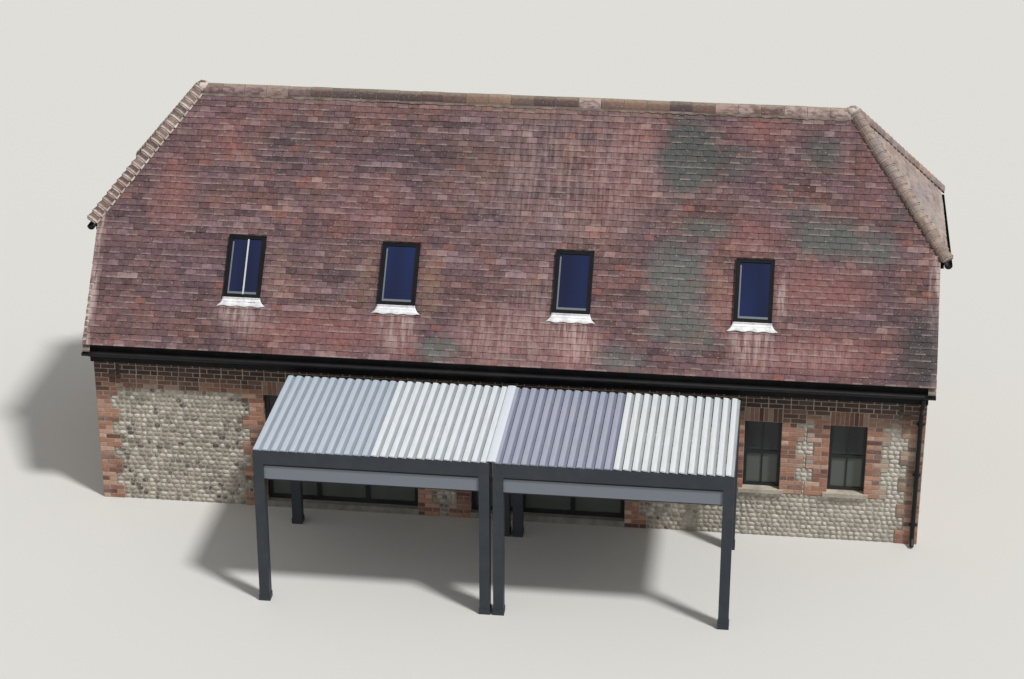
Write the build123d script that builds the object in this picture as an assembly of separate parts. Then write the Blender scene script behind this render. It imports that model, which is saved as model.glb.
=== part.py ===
"""A small flint and brick barn with a half-hipped tiled roof and a louvred canopy along its front.

Millimetres. The origin is on the ground under the middle of the ridge. +X runs along the ridge,
+Y points from the front wall to the back wall, and +Z is up.
"""

from build123d import *
import os
from math import acos, ceil, cos, radians, sin, tan

# Walls
wall_length = 12760
wall_width = 5200
wall_thickness = 400
wall_top = 2640
brick_stand = 15
band_bottom = 1950
floor_top = 100

# Roof: the tile face passes through the eave edge, and the half-hips cut the verges under the ridge
roof_pitch = 50
hip_pitch = 50
eave_overhang = 210
eave_rise = 110
verge_overhang = 100
hip_drop = 1649
hip_eave_overhang = 120
tile_thickness = 65
tile_lap_thickness = 40
rafter_depth = 125
rafter_width = 50
rafter_spacing = 620
hip_rafter_spacing = 485
ridge_board_depth = 220
ridge_board_width = 50

# Eaves, gutters and downpipes
fascia_thickness = 25
fascia_set_back = 60
fascia_depth = 310
hip_fascia_depth = 210
soffit_thickness = 20
undercloak_thickness = 15
gutter_radius = 62
gutter_wall = 4
gutter_drop = 130
pipe_radius = 34
pipe_wall = 3
pipe_stand = 20
pipe_from_corner = 80
pipe_foot = 120
pipe_shoe = 90

# Timbers that carry the roof
plate_width = 150
plate_depth = 100
plate_set_back = 10
tie_beam_width = 150
tie_beam_depth = 200

# Cap tiles
ridge_cap_radius = 125
hip_cap_radius = 105
cap_thickness = 16

# Windows and doors, placed by the distance of their middles from the corners of the front wall
window_width = 560
window_sill_height = 810
front_windows_from_right = (2410, 1130)
back_window_count = 4
door_width = 2400
doors_from_left = (3850, 7080)

# Windows and glazed doors
frame_set_back = 110
frame_depth = 70
frame_width = 50
glass_thickness = 24
sill_thickness = 60
sill_nose = 40
sill_horn = 60
door_leaves = 3
door_rail = 70

# Brick dressings, with blocks that are long and short by turns
block_height = 225
short_block = 225
long_block = 340

# Rooflights in the front slope
rooflights_from_left = (2310, 4710)
rooflights_from_right = (5380, 2650)
rooflight_width = 550
rooflight_length = 980
rooflight_foot = 865
rooflight_stand = 45
rooflight_frame_width = 45
rooflight_glass_drop = 18
apron_height = 170
apron_top_width = 600
apron_foot_width = 750
apron_thickness = 6

# Louvred canopy: two bays side by side
bay_width = 3400
bay_depth = 2490
bay_gap = 50
bay_count = 2
blade_zone = 40
canopy_from_left = 3150
canopy_clearance = 150
canopy_height = 2500
post_size = 150
beam_depth = 210
beam_width = 110
middle_beam_width = 80
blade_count = 13
blade_gap = 10
blade_thickness = 20
blade_crown = 7
channel_width = 30
channel_depth = 11
channel_lip = 3
channel_lip_height = 5
blade_seat = 0.3
blade_end_set_back = 12
blade_tilts = (4, 7, 4, 9)
blind_depth = 100
blind_height = 240

# Values worked out from the sizes above
half_length = wall_length / 2
half_width = wall_width / 2
inner_length = half_length - wall_thickness
inner_width = half_width - wall_thickness
verge = half_length + verge_overhang
eave_reach = half_width + eave_overhang
eave_height = wall_top + eave_rise
ridge_height = eave_height + eave_reach * tan(radians(roof_pitch))
ridge_end = verge - hip_drop / tan(radians(hip_pitch))
hip_eave_reach = verge + hip_eave_overhang
hip_eave_height = ridge_height - hip_drop - hip_eave_overhang * tan(radians(hip_pitch))
hip_eave_half = eave_reach - (hip_eave_height - eave_height) / tan(radians(roof_pitch))
ridge_cap_drop = ridge_cap_radius * tan(radians(roof_pitch))
fascia_reach = eave_reach - fascia_set_back
fascia_bottom = eave_height - fascia_depth
front_window_places = [half_length - distance for distance in front_windows_from_right]
back_window_spacing = 2 * inner_length / back_window_count
back_window_places = [
    back_window_spacing * (number + 0.5) - inner_length for number in range(back_window_count)
]
door_places = [distance - half_length for distance in doors_from_left]
rooflight_places = [distance - half_length for distance in rooflights_from_left]
rooflight_places += [half_length - distance for distance in rooflights_from_right]
tie_beam_places = [(left + right) / 2 for left, right in zip(rooflight_places, rooflight_places[1:])]
rafter_underside = tile_thickness + rafter_depth
canopy_start = canopy_from_left - half_length
canopy_back = -eave_reach - canopy_clearance
frame_top = canopy_height - blade_zone
post_top = frame_top - beam_depth
beyond = 2 * wall_length
through_tiles = 4 * tile_thickness
cap_run_on = 0.1

front_normal = Vector(0, -sin(radians(roof_pitch)), cos(radians(roof_pitch)))
back_normal = Vector(0, sin(radians(roof_pitch)), cos(radians(roof_pitch)))
left_normal = Vector(-sin(radians(hip_pitch)), 0, cos(radians(hip_pitch)))
right_normal = Vector(sin(radians(hip_pitch)), 0, cos(radians(hip_pitch)))
left_ridge_end = Vector(-ridge_end, 0, ridge_height)
right_ridge_end = Vector(ridge_end, 0, ridge_height)

# Each slope: its outward normal, one end of the ridge, and the direction that runs along its eave
slopes = {
    "front": (front_normal, left_ridge_end, Vector(1, 0, 0)),
    "back": (back_normal, left_ridge_end, Vector(-1, 0, 0)),
    "left": (left_normal, left_ridge_end, Vector(0, -1, 0)),
    "right": (right_normal, right_ridge_end, Vector(0, 1, 0)),
}
neighbours = {
    "front": ("back", "left", "right"),
    "back": ("front", "left", "right"),
    "left": ("front", "back"),
    "right": ("front", "back"),
}


def block(x0, x1, y0, y1, z0, z1):
    """A square-cornered block between two corners."""
    return Pos(x0, y0, z0) * Box(x1 - x0, y1 - y0, z1 - z0, align=(Align.MIN,) * 3)


def trim(solid, point, outward):
    """Cut away what lies on the outward side of a plane through the point."""
    return split(solid, bisect_by=Plane(origin=point, z_dir=outward), keep=Keep.BOTTOM)


def under_slope(solid, side, depth):
    """Cut away what rises above a slope's tile face, moved in by the depth."""
    normal, ridge_point, along = slopes[side]
    return trim(solid, ridge_point - normal * depth, normal)


def under_roof(solid, depth):
    """Cut a solid to the space under all four slopes."""
    for side in slopes:
        solid = under_slope(solid, side, depth)
    return solid


def mitre(solid, side):
    """Cut a solid of one slope where that slope meets its neighbours."""
    normal, ridge_point, along = slopes[side]
    for other in neighbours[side]:
        other_normal, other_point, other_along = slopes[other]
        corner = right_ridge_end if "right" in (side, other) else left_ridge_end
        solid = trim(solid, corner, other_normal - normal)
    return solid


def slope_layer(side, top, bottom):
    """A wide slab lying in one slope, between two depths under the tile face."""
    normal, ridge_point, along = slopes[side]
    place = Plane(origin=ridge_point - normal * bottom, x_dir=along, z_dir=normal)
    slab = Box(beyond, beyond, bottom - top, align=(Align.CENTER, Align.CENTER, Align.MIN))
    return place * slab


def roof_tiles(side):
    """The tile covering of one long slope with its battens, stepped where the battens stop."""
    facing = -1 if side == "front" else 1
    laps = mitre(slope_layer(side, 0, tile_lap_thickness), side)
    laps = trim(laps, (0, facing * eave_reach, 0), (0, facing, 0))
    battens = mitre(slope_layer(side, tile_lap_thickness, tile_thickness), side)
    battens = trim(battens, (0, facing * fascia_reach, 0), (0, facing, 0))
    covering = laps + battens
    covering = trim(covering, (verge, 0, 0), (1, 0, 0))
    return trim(covering, (-verge, 0, 0), (-1, 0, 0)) - ridge_seat()


def half_hip_tiles(side):
    """The tile covering of one half-hip."""
    facing = -1 if side == "left" else 1
    covering = mitre(slope_layer(side, 0, tile_thickness), side)
    return trim(covering, (facing * hip_eave_reach, 0, 0), (facing, 0, 0))


def rooflight_plane(place, depth):
    """A plane in the front slope at the middle of a rooflight, at a depth under the tile face."""
    eave_point = Vector(place, -eave_reach, eave_height)
    up_slope = Vector(0, cos(radians(roof_pitch)), sin(radians(roof_pitch)))
    middle = rooflight_foot + rooflight_length / 2
    origin = eave_point + up_slope * middle - front_normal * depth
    return Plane(origin=origin, x_dir=(1, 0, 0), z_dir=front_normal)


def rooflight_holes():
    """The holes that the rooflights leave in the covering."""
    hole = Box(rooflight_width, rooflight_length, through_tiles)
    return [rooflight_plane(place, 0) * hole for place in rooflight_places]


def rooflight_frame(place):
    """A frame that stands above the tiles and reaches down through the covering."""
    height = rooflight_stand + tile_thickness
    outer = Box(rooflight_width, rooflight_length, height, align=(Align.CENTER, Align.CENTER, Align.MIN))
    inner = Box(
        rooflight_width - 2 * rooflight_frame_width,
        rooflight_length - 2 * rooflight_frame_width,
        2 * through_tiles,
    )
    return rooflight_plane(place, tile_thickness) * (outer - inner)


def rooflight_glass(place):
    """The sheet that fills a rooflight's frame."""
    sheet = Box(
        rooflight_width - 2 * rooflight_frame_width,
        rooflight_length - 2 * rooflight_frame_width,
        glass_thickness,
    )
    depth = rooflight_glass_drop + glass_thickness / 2 - rooflight_stand
    return rooflight_plane(place, depth) * sheet


def rooflight_apron(place):
    """The sheet of lead below a rooflight, wider at its foot."""
    top = -rooflight_length / 2
    foot = top - apron_height
    outline = Polyline(
        (-apron_top_width / 2, top),
        (apron_top_width / 2, top),
        (apron_foot_width / 2, foot),
        (-apron_foot_width / 2, foot),
        close=True,
    )
    sheet = extrude(make_face(outline), apron_thickness, dir=(0, 0, 1))
    return rooflight_plane(place, 0) * sheet


def rafter_places():
    """Rafters stand beside every rooflight, with even bays between."""
    trimmed = rooflight_width + rafter_width
    stops = [-inner_length + rafter_width / 2]
    for place in rooflight_places:
        stops += [place - trimmed / 2, place + trimmed / 2]
    stops.append(inner_length - rafter_width / 2)
    places = []
    for start, end in zip(stops, stops[1:]):
        bays = ceil((end - start) / rafter_spacing)
        places += [start + (end - start) * bay / bays for bay in range(bays)]
    return places + [stops[-1]]


def long_rafters(side):
    """The rafters of one long slope, from the ridge board to the fascia."""
    facing = -1 if side == "front" else 1
    layer = mitre(slope_layer(side, tile_thickness, rafter_underside), side)
    layer = trim(layer, (0, facing * ridge_board_width / 2, 0), (0, -facing, 0))
    foot = facing * (fascia_reach - fascia_thickness)
    layer = trim(layer, (0, foot, 0), (0, facing, 0))
    layer = trim(layer, (0, 0, fascia_bottom + soffit_thickness), (0, 0, -1))
    plate = wall_plate(facing)
    rafters = []
    for place in rafter_places():
        strip = block(
            place - rafter_width / 2, place + rafter_width / 2, -beyond, beyond, 0, ridge_height
        )
        rafters.append((layer & strip) - plate)
    return rafters


def hip_rafters(side):
    """The short rafters under one half-hip."""
    facing = -1 if side == "left" else 1
    layer = mitre(slope_layer(side, tile_thickness, rafter_underside), side)
    layer = trim(layer, (facing * inner_length, 0, 0), (facing, 0, 0))
    rafters = []
    for place in (-hip_rafter_spacing, 0, hip_rafter_spacing):
        strip = block(
            -beyond, beyond, place - rafter_width / 2, place + rafter_width / 2, 0, ridge_height
        )
        rafters.append((layer & strip) - ridge_board())
    return rafters


def wall_plate(facing):
    """The timber along the top of a long wall that the rafters' feet are notched over."""
    outer = half_width - plate_set_back
    near, far = sorted((facing * outer, facing * (outer - plate_width)))
    return block(-inner_length, inner_length, near, far, wall_top, wall_top + plate_depth)


def tie_beam(place):
    """A beam across the barn, lying on both wall plates and cut to the slope of the rafters."""
    top = wall_top + plate_depth + tie_beam_depth
    outer = half_width - plate_set_back
    x0 = place - tie_beam_width / 2
    beam = block(x0, x0 + tie_beam_width, -outer, outer, wall_top + plate_depth, top)
    return under_roof(beam, rafter_underside)


def ridge_board():
    """The board between the tops of the two rows of rafters."""
    apex = ridge_height - tile_thickness / cos(radians(roof_pitch))
    half = ridge_board_width / 2
    board = block(-verge, verge, -half, half, apex - ridge_board_depth, ridge_height)
    return under_roof(board, tile_thickness)


def gable_core(facing):
    """An end wall before its window is cut, up to the underside of the tiles."""
    outer = half_length - brick_stand
    near, far = sorted((facing * outer, facing * inner_length))
    wall = block(near, far, -half_width + brick_stand, half_width - brick_stand, 0, ridge_height)
    return under_roof(wall, tile_thickness)


def gable_wall(facing):
    """An end wall with one window."""
    hole = block(
        -beyond, beyond, -window_width / 2, window_width / 2, window_sill_height - sill_thickness,
        band_bottom
    )
    return gable_core(facing) - hole


def long_wall(facing, start, end, windows):
    """A stretch of the front or back wall up to the brick band, with its window holes."""
    near, far = sorted((facing * (half_width - brick_stand), facing * inner_width))
    wall = block(start, end, near, far, 0, band_bottom)
    for place in windows:
        wall -= block(
            place - window_width / 2,
            place + window_width / 2,
            -beyond,
            beyond,
            window_sill_height - sill_thickness,
            band_bottom,
        )
    return wall


def brick_band(facing):
    """The brick top of a long wall, over its doors and windows."""
    near, far = sorted((facing * half_width, facing * inner_width))
    return block(-inner_length, inner_length, near, far, band_bottom, wall_top)


def toothed_strip(start, direction, bottom, top, first_long):
    """A face of long and short blocks: straight along the start line, toothed on the other side."""
    rows = ceil((top - bottom) / block_height)
    points = [(start, bottom)]
    for row in range(rows):
        is_long = (row % 2 == 0) == first_long
        edge = start + direction * (long_block if is_long else short_block)
        points.append((edge, bottom + row * block_height))
        points.append((edge, min(bottom + (row + 1) * block_height, top)))
    points.append((start, top))
    return make_face(Polyline(*points, close=True))


def wall_face_plane(wall):
    """A plane on the flint face of a wall: x along the wall, y up, z outward."""
    out = half_width - brick_stand
    end = half_length - brick_stand
    planes = {
        "front": Plane(origin=(0, -out, 0), x_dir=(1, 0, 0), z_dir=(0, -1, 0)),
        "back": Plane(origin=(0, out, 0), x_dir=(-1, 0, 0), z_dir=(0, 1, 0)),
        "left": Plane(origin=(-end, 0, 0), x_dir=(0, -1, 0), z_dir=(-1, 0, 0)),
        "right": Plane(origin=(end, 0, 0), x_dir=(0, 1, 0), z_dir=(1, 0, 0)),
    }
    return planes[wall]


def dressing(wall, face):
    """Brickwork that stands proud of a wall's flint face."""
    return wall_face_plane(wall) * extrude(face, brick_stand, dir=(0, 0, 1))


def quoins(wall, half, first_long):
    """The brick corners at both ends of a wall."""
    return [
        dressing(wall, toothed_strip(-half, 1, 0, wall_top, first_long)),
        dressing(wall, toothed_strip(half, -1, 0, wall_top, first_long)),
    ]


def jambs(wall, place, width, bottom):
    """The brickwork at both sides of a door or window."""
    return [
        dressing(wall, toothed_strip(place - width / 2, -1, bottom, band_bottom, True)),
        dressing(wall, toothed_strip(place + width / 2, 1, bottom, band_bottom, True)),
    ]


def gable_band(wall):
    """The brick band that carries on across an end wall, between its corners."""
    reach = half_width - long_block
    face = Pos(0, (band_bottom + wall_top) / 2) * Rectangle(2 * reach, wall_top - band_bottom)
    return dressing(wall, face)


def opening_plane(wall, place):
    """A plane at the middle of an opening's foot, on the brick face: x along, y up, z outward."""
    base = wall_face_plane(wall)
    return Plane(
        origin=base.origin + base.z_dir * brick_stand + base.x_dir * place,
        x_dir=base.x_dir,
        z_dir=base.z_dir,
    )


def window_parts(wall, place):
    """A window's frame, glass and sill."""
    plane = opening_plane(wall, place)
    half = window_width / 2
    front = -frame_set_back
    back = front - frame_depth
    inner = half - frame_width
    low = window_sill_height + frame_width
    high = band_bottom - frame_width
    rail = (low + high) / 2
    frame = block(-half, half, window_sill_height, band_bottom, back, front)
    frame -= block(-inner, inner, low, rail - frame_width / 2, back, front)
    frame -= block(-inner, inner, rail + frame_width / 2, high, back, front)
    middle = (front + back) / 2
    pane_back = middle - glass_thickness / 2
    pane_front = middle + glass_thickness / 2
    lower = block(-inner, inner, low, rail - frame_width / 2, pane_back, pane_front)
    upper = block(-inner, inner, rail + frame_width / 2, high, pane_back, pane_front)
    sill = block(-half, half, window_sill_height - sill_thickness, window_sill_height, back, 0)
    nose = block(
        -half - sill_horn,
        half + sill_horn,
        window_sill_height - sill_thickness,
        window_sill_height,
        0,
        sill_nose,
    )
    return plane * frame, [plane * lower, plane * upper], plane * (sill + nose)


def door_parts(place):
    """A glazed door screen's frame, its panes and the threshold under it."""
    plane = opening_plane("front", place)
    half = door_width / 2
    front = -frame_set_back
    back = front - frame_depth
    frame = block(-half, half, floor_top, band_bottom, back, front)
    pitch = (door_width - door_rail) / door_leaves
    middle = (front + back) / 2
    panes = []
    for leaf in range(door_leaves):
        x0 = -half + door_rail + leaf * pitch
        x1 = x0 + pitch - door_rail
        low = floor_top + door_rail
        high = band_bottom - door_rail
        frame -= block(x0, x1, low, high, back, front)
        panes.append(
            block(x0, x1, low, high, middle - glass_thickness / 2, middle + glass_thickness / 2)
        )
    threshold = block(-half, half, 0, floor_top, -wall_thickness, 0)
    return plane * frame, [plane * pane for pane in panes], plane * threshold


def eave_boards(facing):
    """The fascia and soffit under the edge of a long slope, as one L-shaped length."""
    face = facing * fascia_reach
    near, far = sorted((face, face - facing * fascia_thickness))
    fascia = block(-half_length, half_length, near, far, fascia_bottom, eave_height)
    wall_side, board_side = sorted((facing * half_width, face))
    top = fascia_bottom + soffit_thickness
    soffit = block(-half_length, half_length, wall_side, board_side, fascia_bottom, top)
    return under_roof(fascia + soffit, tile_thickness)


def hip_eave_boards(facing):
    """The fascia and soffit under the foot of a half-hip, as one L-shaped length."""
    face = facing * (hip_eave_reach - fascia_set_back)
    bottom = hip_eave_height - hip_fascia_depth
    half = hip_eave_half - fascia_set_back
    near, far = sorted((face, face - facing * fascia_thickness))
    fascia = block(near, far, -half, half, bottom, hip_eave_height)
    wall_side, board_side = sorted((facing * half_length, face))
    soffit = block(wall_side, board_side, -half, half, bottom, bottom + soffit_thickness)
    return under_roof(fascia + soffit, tile_thickness)


def verge_undercloaks(facing):
    """The strips bedded on an end wall's slopes, under the edges of both long slopes."""
    near, far = sorted((facing * (half_length - brick_stand), facing * verge))
    strips = []
    for side, low_end in (("front", -eave_reach), ("back", eave_reach)):
        strip = slope_layer(side, tile_thickness, tile_thickness + undercloak_thickness)
        strip = strip & block(near, far, -beyond, beyond, 0, ridge_height)
        strip = trim(strip, (0, low_end, 0), (0, low_end, 0))
        strip = trim(strip, (0, 0, hip_eave_height - hip_fascia_depth), (0, 0, 1))
        strips.append(strip - gable_core(facing) - eave_boards(-1 if side == "front" else 1))
    return strips


def half_ring(radius, wall):
    """The lower half of a ring, as a gutter's section."""
    lower = Pos(0, -radius / 2) * Rectangle(2 * radius, radius)
    return (Circle(radius) - Circle(radius - wall)) & lower


def half_disc(radius):
    """The lower half of a disc, as the end of a gutter."""
    return Circle(radius) & Pos(0, -radius / 2) * Rectangle(2 * radius, radius)


def gutter_length(start, across, length):
    """A half-round gutter with closed ends, from its start point. Its section's flat side is up."""
    plane = Plane(origin=start, x_dir=across, z_dir=across.cross(Vector(0, 0, 1)))
    trough = extrude(half_ring(gutter_radius, gutter_wall), length, dir=(0, 0, 1))
    near_end = extrude(half_disc(gutter_radius), gutter_wall, dir=(0, 0, 1))
    far_end = Pos(0, 0, length - gutter_wall) * near_end
    return plane * (trough + near_end + far_end)


def gutter(facing):
    """The gutter along a long eave."""
    start = Vector(-verge, facing * (fascia_reach + gutter_radius), eave_height - gutter_drop)
    return gutter_length(start, Vector(0, 1, 0), 2 * verge)


def hip_gutter(facing):
    """The gutter under the foot of a half-hip."""
    out = facing * (hip_eave_reach - fascia_set_back + gutter_radius)
    start = Vector(out, hip_eave_half, hip_eave_height - gutter_drop)
    return gutter_length(start, Vector(1, 0, 0), 2 * hip_eave_half)


def downpipe(facing, place):
    """A pipe from a gutter to the foot of the wall, with a swan neck and a shoe."""
    out = facing * (fascia_reach + gutter_radius)
    near = facing * (half_width + pipe_stand + pipe_radius)
    top = eave_height - gutter_drop - gutter_radius
    outlet = top - pipe_radius - (top - fascia_bottom)
    neck = abs(out - near)
    path = Polyline(
        (place, out, top),
        (place, out, outlet),
        (place, near, outlet - neck),
        (place, near, pipe_foot),
        (place, near + facing * pipe_shoe, pipe_foot - pipe_shoe),
    )
    ring = Circle(pipe_radius) - Circle(pipe_radius - pipe_wall)
    section = Plane(origin=(place, out, top), z_dir=(0, 0, -1)) * ring
    return sweep(section, path=path, transition=Transition.RIGHT)


def half_round(radius):
    """The upper half of a cap tile's ring."""
    upper = Pos(0, radius / 2) * Rectangle(2 * radius, radius)
    return (Circle(radius) - Circle(radius - cap_thickness)) & upper


def ridge_plane():
    """The section of the ridge tiles at one end: x across, y up, with their feet on the slopes."""
    foot = left_ridge_end - Vector(0, 0, ridge_cap_drop)
    return Plane(origin=foot, x_dir=(0, 1, 0), z_dir=(1, 0, 0))


def ridge_tiles():
    """The row of half-round tiles over the ridge."""
    return ridge_plane() * extrude(half_round(ridge_cap_radius), 2 * ridge_end, dir=(0, 0, 1))


def ridge_seat():
    """The room that the ridge tiles take at the top of both long slopes."""
    foot = ridge_height - ridge_cap_drop
    return block(-ridge_end, ridge_end, -ridge_cap_radius, ridge_cap_radius, foot, ridge_height)


def hip_tiles(x_side, y_side):
    """The row of bonnet tiles over one short hip, from the ridge to the foot of the half-hip."""
    end_normal = right_normal if x_side > 0 else left_normal
    side_normal = back_normal if y_side > 0 else front_normal
    up = (end_normal + side_normal).normalized()
    half_angle = acos(end_normal.dot(side_normal)) / 2
    run = hip_eave_reach - ridge_end
    fall = run * tan(radians(hip_pitch))
    side_run = fall / tan(radians(roof_pitch))
    top = Vector(x_side * ridge_end, 0, ridge_height)
    along = Vector(x_side * run, y_side * side_run, -fall)
    start = top - up * (hip_cap_radius * tan(half_angle)) - along * cap_run_on
    plane = Plane(origin=start, x_dir=up.cross(along), z_dir=along)
    if plane.y_dir.dot(up) < 0:
        plane = Plane(origin=start, x_dir=along.cross(up), z_dir=along)
    length = along.length * (1 + 2 * cap_run_on)
    cap = plane * extrude(half_round(hip_cap_radius), length, dir=(0, 0, 1))
    cap = trim(cap, (0, 0, 0), (0, -y_side, 0))
    cap = trim(cap, (x_side * ridge_end, 0, 0), (-x_side, 0, 0))
    cap = trim(cap, (x_side * hip_eave_reach, 0, 0), (x_side, 0, 0))
    roof = block(-beyond, beyond, -beyond, beyond, 0, 2 * ridge_height)
    return cap - under_roof(roof, 0)


def bay_start(bay):
    """Where a canopy bay starts along the wall."""
    return canopy_start + bay * (bay_width + bay_gap)


def canopy_posts(bay):
    """The four square posts of one bay."""
    x0 = bay_start(bay)
    x1 = x0 + bay_width
    y0 = canopy_back - bay_depth
    posts = []
    for left in (x0, x1 - post_size):
        for front in (y0, canopy_back - post_size):
            posts.append(block(left, left + post_size, front, front + post_size, 0, post_top))
    return posts


def canopy_frame(bay):
    """The ring of beams on one bay's posts, with a middle beam from front to back."""
    x0 = bay_start(bay)
    x1 = x0 + bay_width
    y0 = canopy_back - bay_depth
    middle = (x0 + x1) / 2
    frame = block(x0, x1, y0, canopy_back, post_top, frame_top)
    for left, right in (
        (x0 + beam_width, middle - middle_beam_width / 2),
        (middle + middle_beam_width / 2, x1 - beam_width),
    ):
        frame -= block(left, right, y0 + beam_width, canopy_back - beam_width, post_top, frame_top)
    return frame


def louvre_blades(section):
    """One section of tilted blades that lie on the frame from front to back.

    Each blade is crowned, and has a drain channel with a lip along its lower edge.
    """
    bay, half = divmod(section, 2)
    start = bay_start(bay) + half * bay_width / 2
    pitch = bay_width / 2 / blade_count
    width = pitch - blade_gap
    length = bay_depth - 2 * blade_end_set_back
    y0 = canopy_back - bay_depth + blade_end_set_back
    tilt = radians(blade_tilts[section])
    height = frame_top + blade_seat + width / 2 * sin(tilt) + blade_thickness / 2 * cos(tilt)
    low = -blade_thickness / 2
    high = blade_thickness / 2 - blade_crown
    shelf = width / 2 - channel_width
    crown = ThreePointArc(
        (-width / 2, high), ((shelf - width / 2) / 2, blade_thickness / 2), (shelf, high)
    )
    floor = high - channel_depth
    rest = Polyline(
        crown @ 1,
        (shelf, floor),
        (width / 2 - channel_lip, floor),
        (width / 2 - channel_lip, floor + channel_lip_height),
        (width / 2, floor + channel_lip_height),
        (width / 2, low),
        (-width / 2, low),
        crown @ 0,
    )
    blade = extrude(Plane.XZ * make_face(Curve() + [crown, rest]), -length)
    blades = []
    for number in range(blade_count):
        place = Pos(start + (number + 0.5) * pitch, y0, height)
        blades.append(place * Rot(0, blade_tilts[section], 0) * blade)
    return blades


def joint_strip():
    """The bar that fills the gap between the two bays and joins their frames."""
    x1 = bay_start(1)
    y0 = canopy_back - bay_depth
    return block(x1 - bay_gap, x1, y0, canopy_back, post_top, canopy_height)


def blind_box(bay):
    """The box of a roller blind between the front posts of one bay."""
    x0 = bay_start(bay) + post_size
    x1 = bay_start(bay) + bay_width - post_size
    y0 = canopy_back - bay_depth + (post_size - blind_depth) / 2
    return block(x0, x1, y0, y0 + blind_depth, post_top - blind_height, post_top)


def save(name, shapes):
    """Write one node from a solid or from a list of solids that stand apart."""
    if not isinstance(shapes, list):
        shapes = [shapes]
    solids = [solid for shape in shapes for solid in shape.solids()]
    whole = solids[0] if len(solids) == 1 else Compound(children=solids)
    export_step(whole, os.path.join("parts", name + ".step"))


def walls():
    """Floor, flint walls and brick bands."""
    save("floor_slab", block(-inner_length, inner_length, -inner_width, inner_width, 0, floor_top))
    door_edges = [place + side * door_width / 2 for place in door_places for side in (-1, 1)]
    save("front_wall_left", long_wall(-1, -inner_length, door_edges[0], ()))
    save("front_wall_middle", long_wall(-1, door_edges[1], door_edges[2], ()))
    save("front_wall_right", long_wall(-1, door_edges[3], inner_length, front_window_places))
    save("back_wall", long_wall(1, -inner_length, inner_length, back_window_places))
    save("front_brick_band", brick_band(-1))
    save("back_brick_band", brick_band(1))
    save("left_gable_wall", gable_wall(-1))
    save("right_gable_wall", gable_wall(1))


def dressings():
    """Brick corners and the brickwork beside the openings."""
    window_foot = window_sill_height - sill_thickness
    front = quoins("front", half_length, True)
    for place in door_places:
        front += jambs("front", place, door_width, 0)
    for place in front_window_places:
        front += jambs("front", place, window_width, window_foot)
    save("front_brick_dressings", front)
    back = quoins("back", half_length, True)
    for place in back_window_places:
        back += jambs("back", -place, window_width, window_foot)
    save("back_brick_dressings", back)
    for wall in ("left", "right"):
        bricks = quoins(wall, half_width - brick_stand, False)
        bricks += jambs(wall, 0, window_width, window_foot)
        bricks.append(gable_band(wall))
        save(wall + "_gable_dressings", bricks)


def openings():
    """Windows, glazed doors, sills and thresholds."""
    walls_with_windows = {
        "front": [("front", place) for place in front_window_places],
        "back": [("back", -place) for place in back_window_places],
        "gable": [("left", 0), ("right", 0)],
    }
    sills = []
    for name, windows in walls_with_windows.items():
        frames = []
        panes = []
        for wall, place in windows:
            frame, glass, sill = window_parts(wall, place)
            frames.append(frame)
            panes += glass
            sills.append(sill)
        save(name + "_window_frames", frames)
        save(name + "_window_glass", panes)
    save("window_sills", sills)
    doors = [door_parts(place) for place in door_places]
    save("door_frames", [frame for frame, panes, threshold in doors])
    save("door_glass", [pane for frame, panes, threshold in doors for pane in panes])
    save("door_thresholds", [threshold for frame, panes, threshold in doors])


def roof():
    """Roof timbers, tiles and rooflights."""
    save("wall_plates", [wall_plate(-1), wall_plate(1)])
    save("tie_beams", [tie_beam(place) for place in tie_beam_places])
    save("ridge_board", ridge_board())
    save("front_rafters", long_rafters("front"))
    save("back_rafters", long_rafters("back"))
    save("hip_rafters", hip_rafters("left") + hip_rafters("right"))
    front = roof_tiles("front")
    for hole in rooflight_holes():
        front -= hole
    save("front_roof_tiles", front)
    save("back_roof_tiles", roof_tiles("back"))
    save("left_hip_tiles", half_hip_tiles("left"))
    save("right_hip_tiles", half_hip_tiles("right"))
    save("ridge_tiles", ridge_tiles())
    save("left_bonnet_tiles", [hip_tiles(-1, -1), hip_tiles(-1, 1)])
    save("right_bonnet_tiles", [hip_tiles(1, -1), hip_tiles(1, 1)])
    save("rooflight_frames", [rooflight_frame(place) for place in rooflight_places])
    save("rooflight_glass", [rooflight_glass(place) for place in rooflight_places])
    save("rooflight_aprons", [rooflight_apron(place) for place in rooflight_places])


def eaves():
    """Eave boards, gutters and downpipes."""
    save("front_eave_boards", eave_boards(-1))
    save("back_eave_boards", eave_boards(1))
    save("hip_eave_boards", [hip_eave_boards(-1), hip_eave_boards(1)])
    save("verge_undercloaks", verge_undercloaks(-1) + verge_undercloaks(1))
    save("front_gutter", gutter(-1))
    save("back_gutter", gutter(1))
    save("hip_gutters", [hip_gutter(-1), hip_gutter(1)])
    corner = half_length - pipe_from_corner
    save("downpipes", [downpipe(-1, corner), downpipe(1, -corner)])


def canopy():
    """The two louvred bays."""
    for bay, side in enumerate(("left", "right")):
        save(side + "_canopy_posts", canopy_posts(bay))
        save(side + "_canopy_frame", canopy_frame(bay))
        save(side + "_canopy_blind_box", blind_box(bay))
    save("canopy_joint_strip", joint_strip())
    for section in range(2 * bay_count):
        save("canopy_louvres_" + str(section + 1), louvre_blades(section))


os.makedirs("parts", exist_ok=True)
walls()
dressings()
openings()
roof()
eaves()
canopy()
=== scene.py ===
"""Looks of a small flint and brick barn with a half-hipped tiled roof and a louvred canopy.

Metres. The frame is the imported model's own: x runs along the ridge, the front faces -y, z is up,
and the ground is at z 0. Tiles, bricks, flints and fittings are laid over the solids.
"""

import functools
import math
import random

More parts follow.
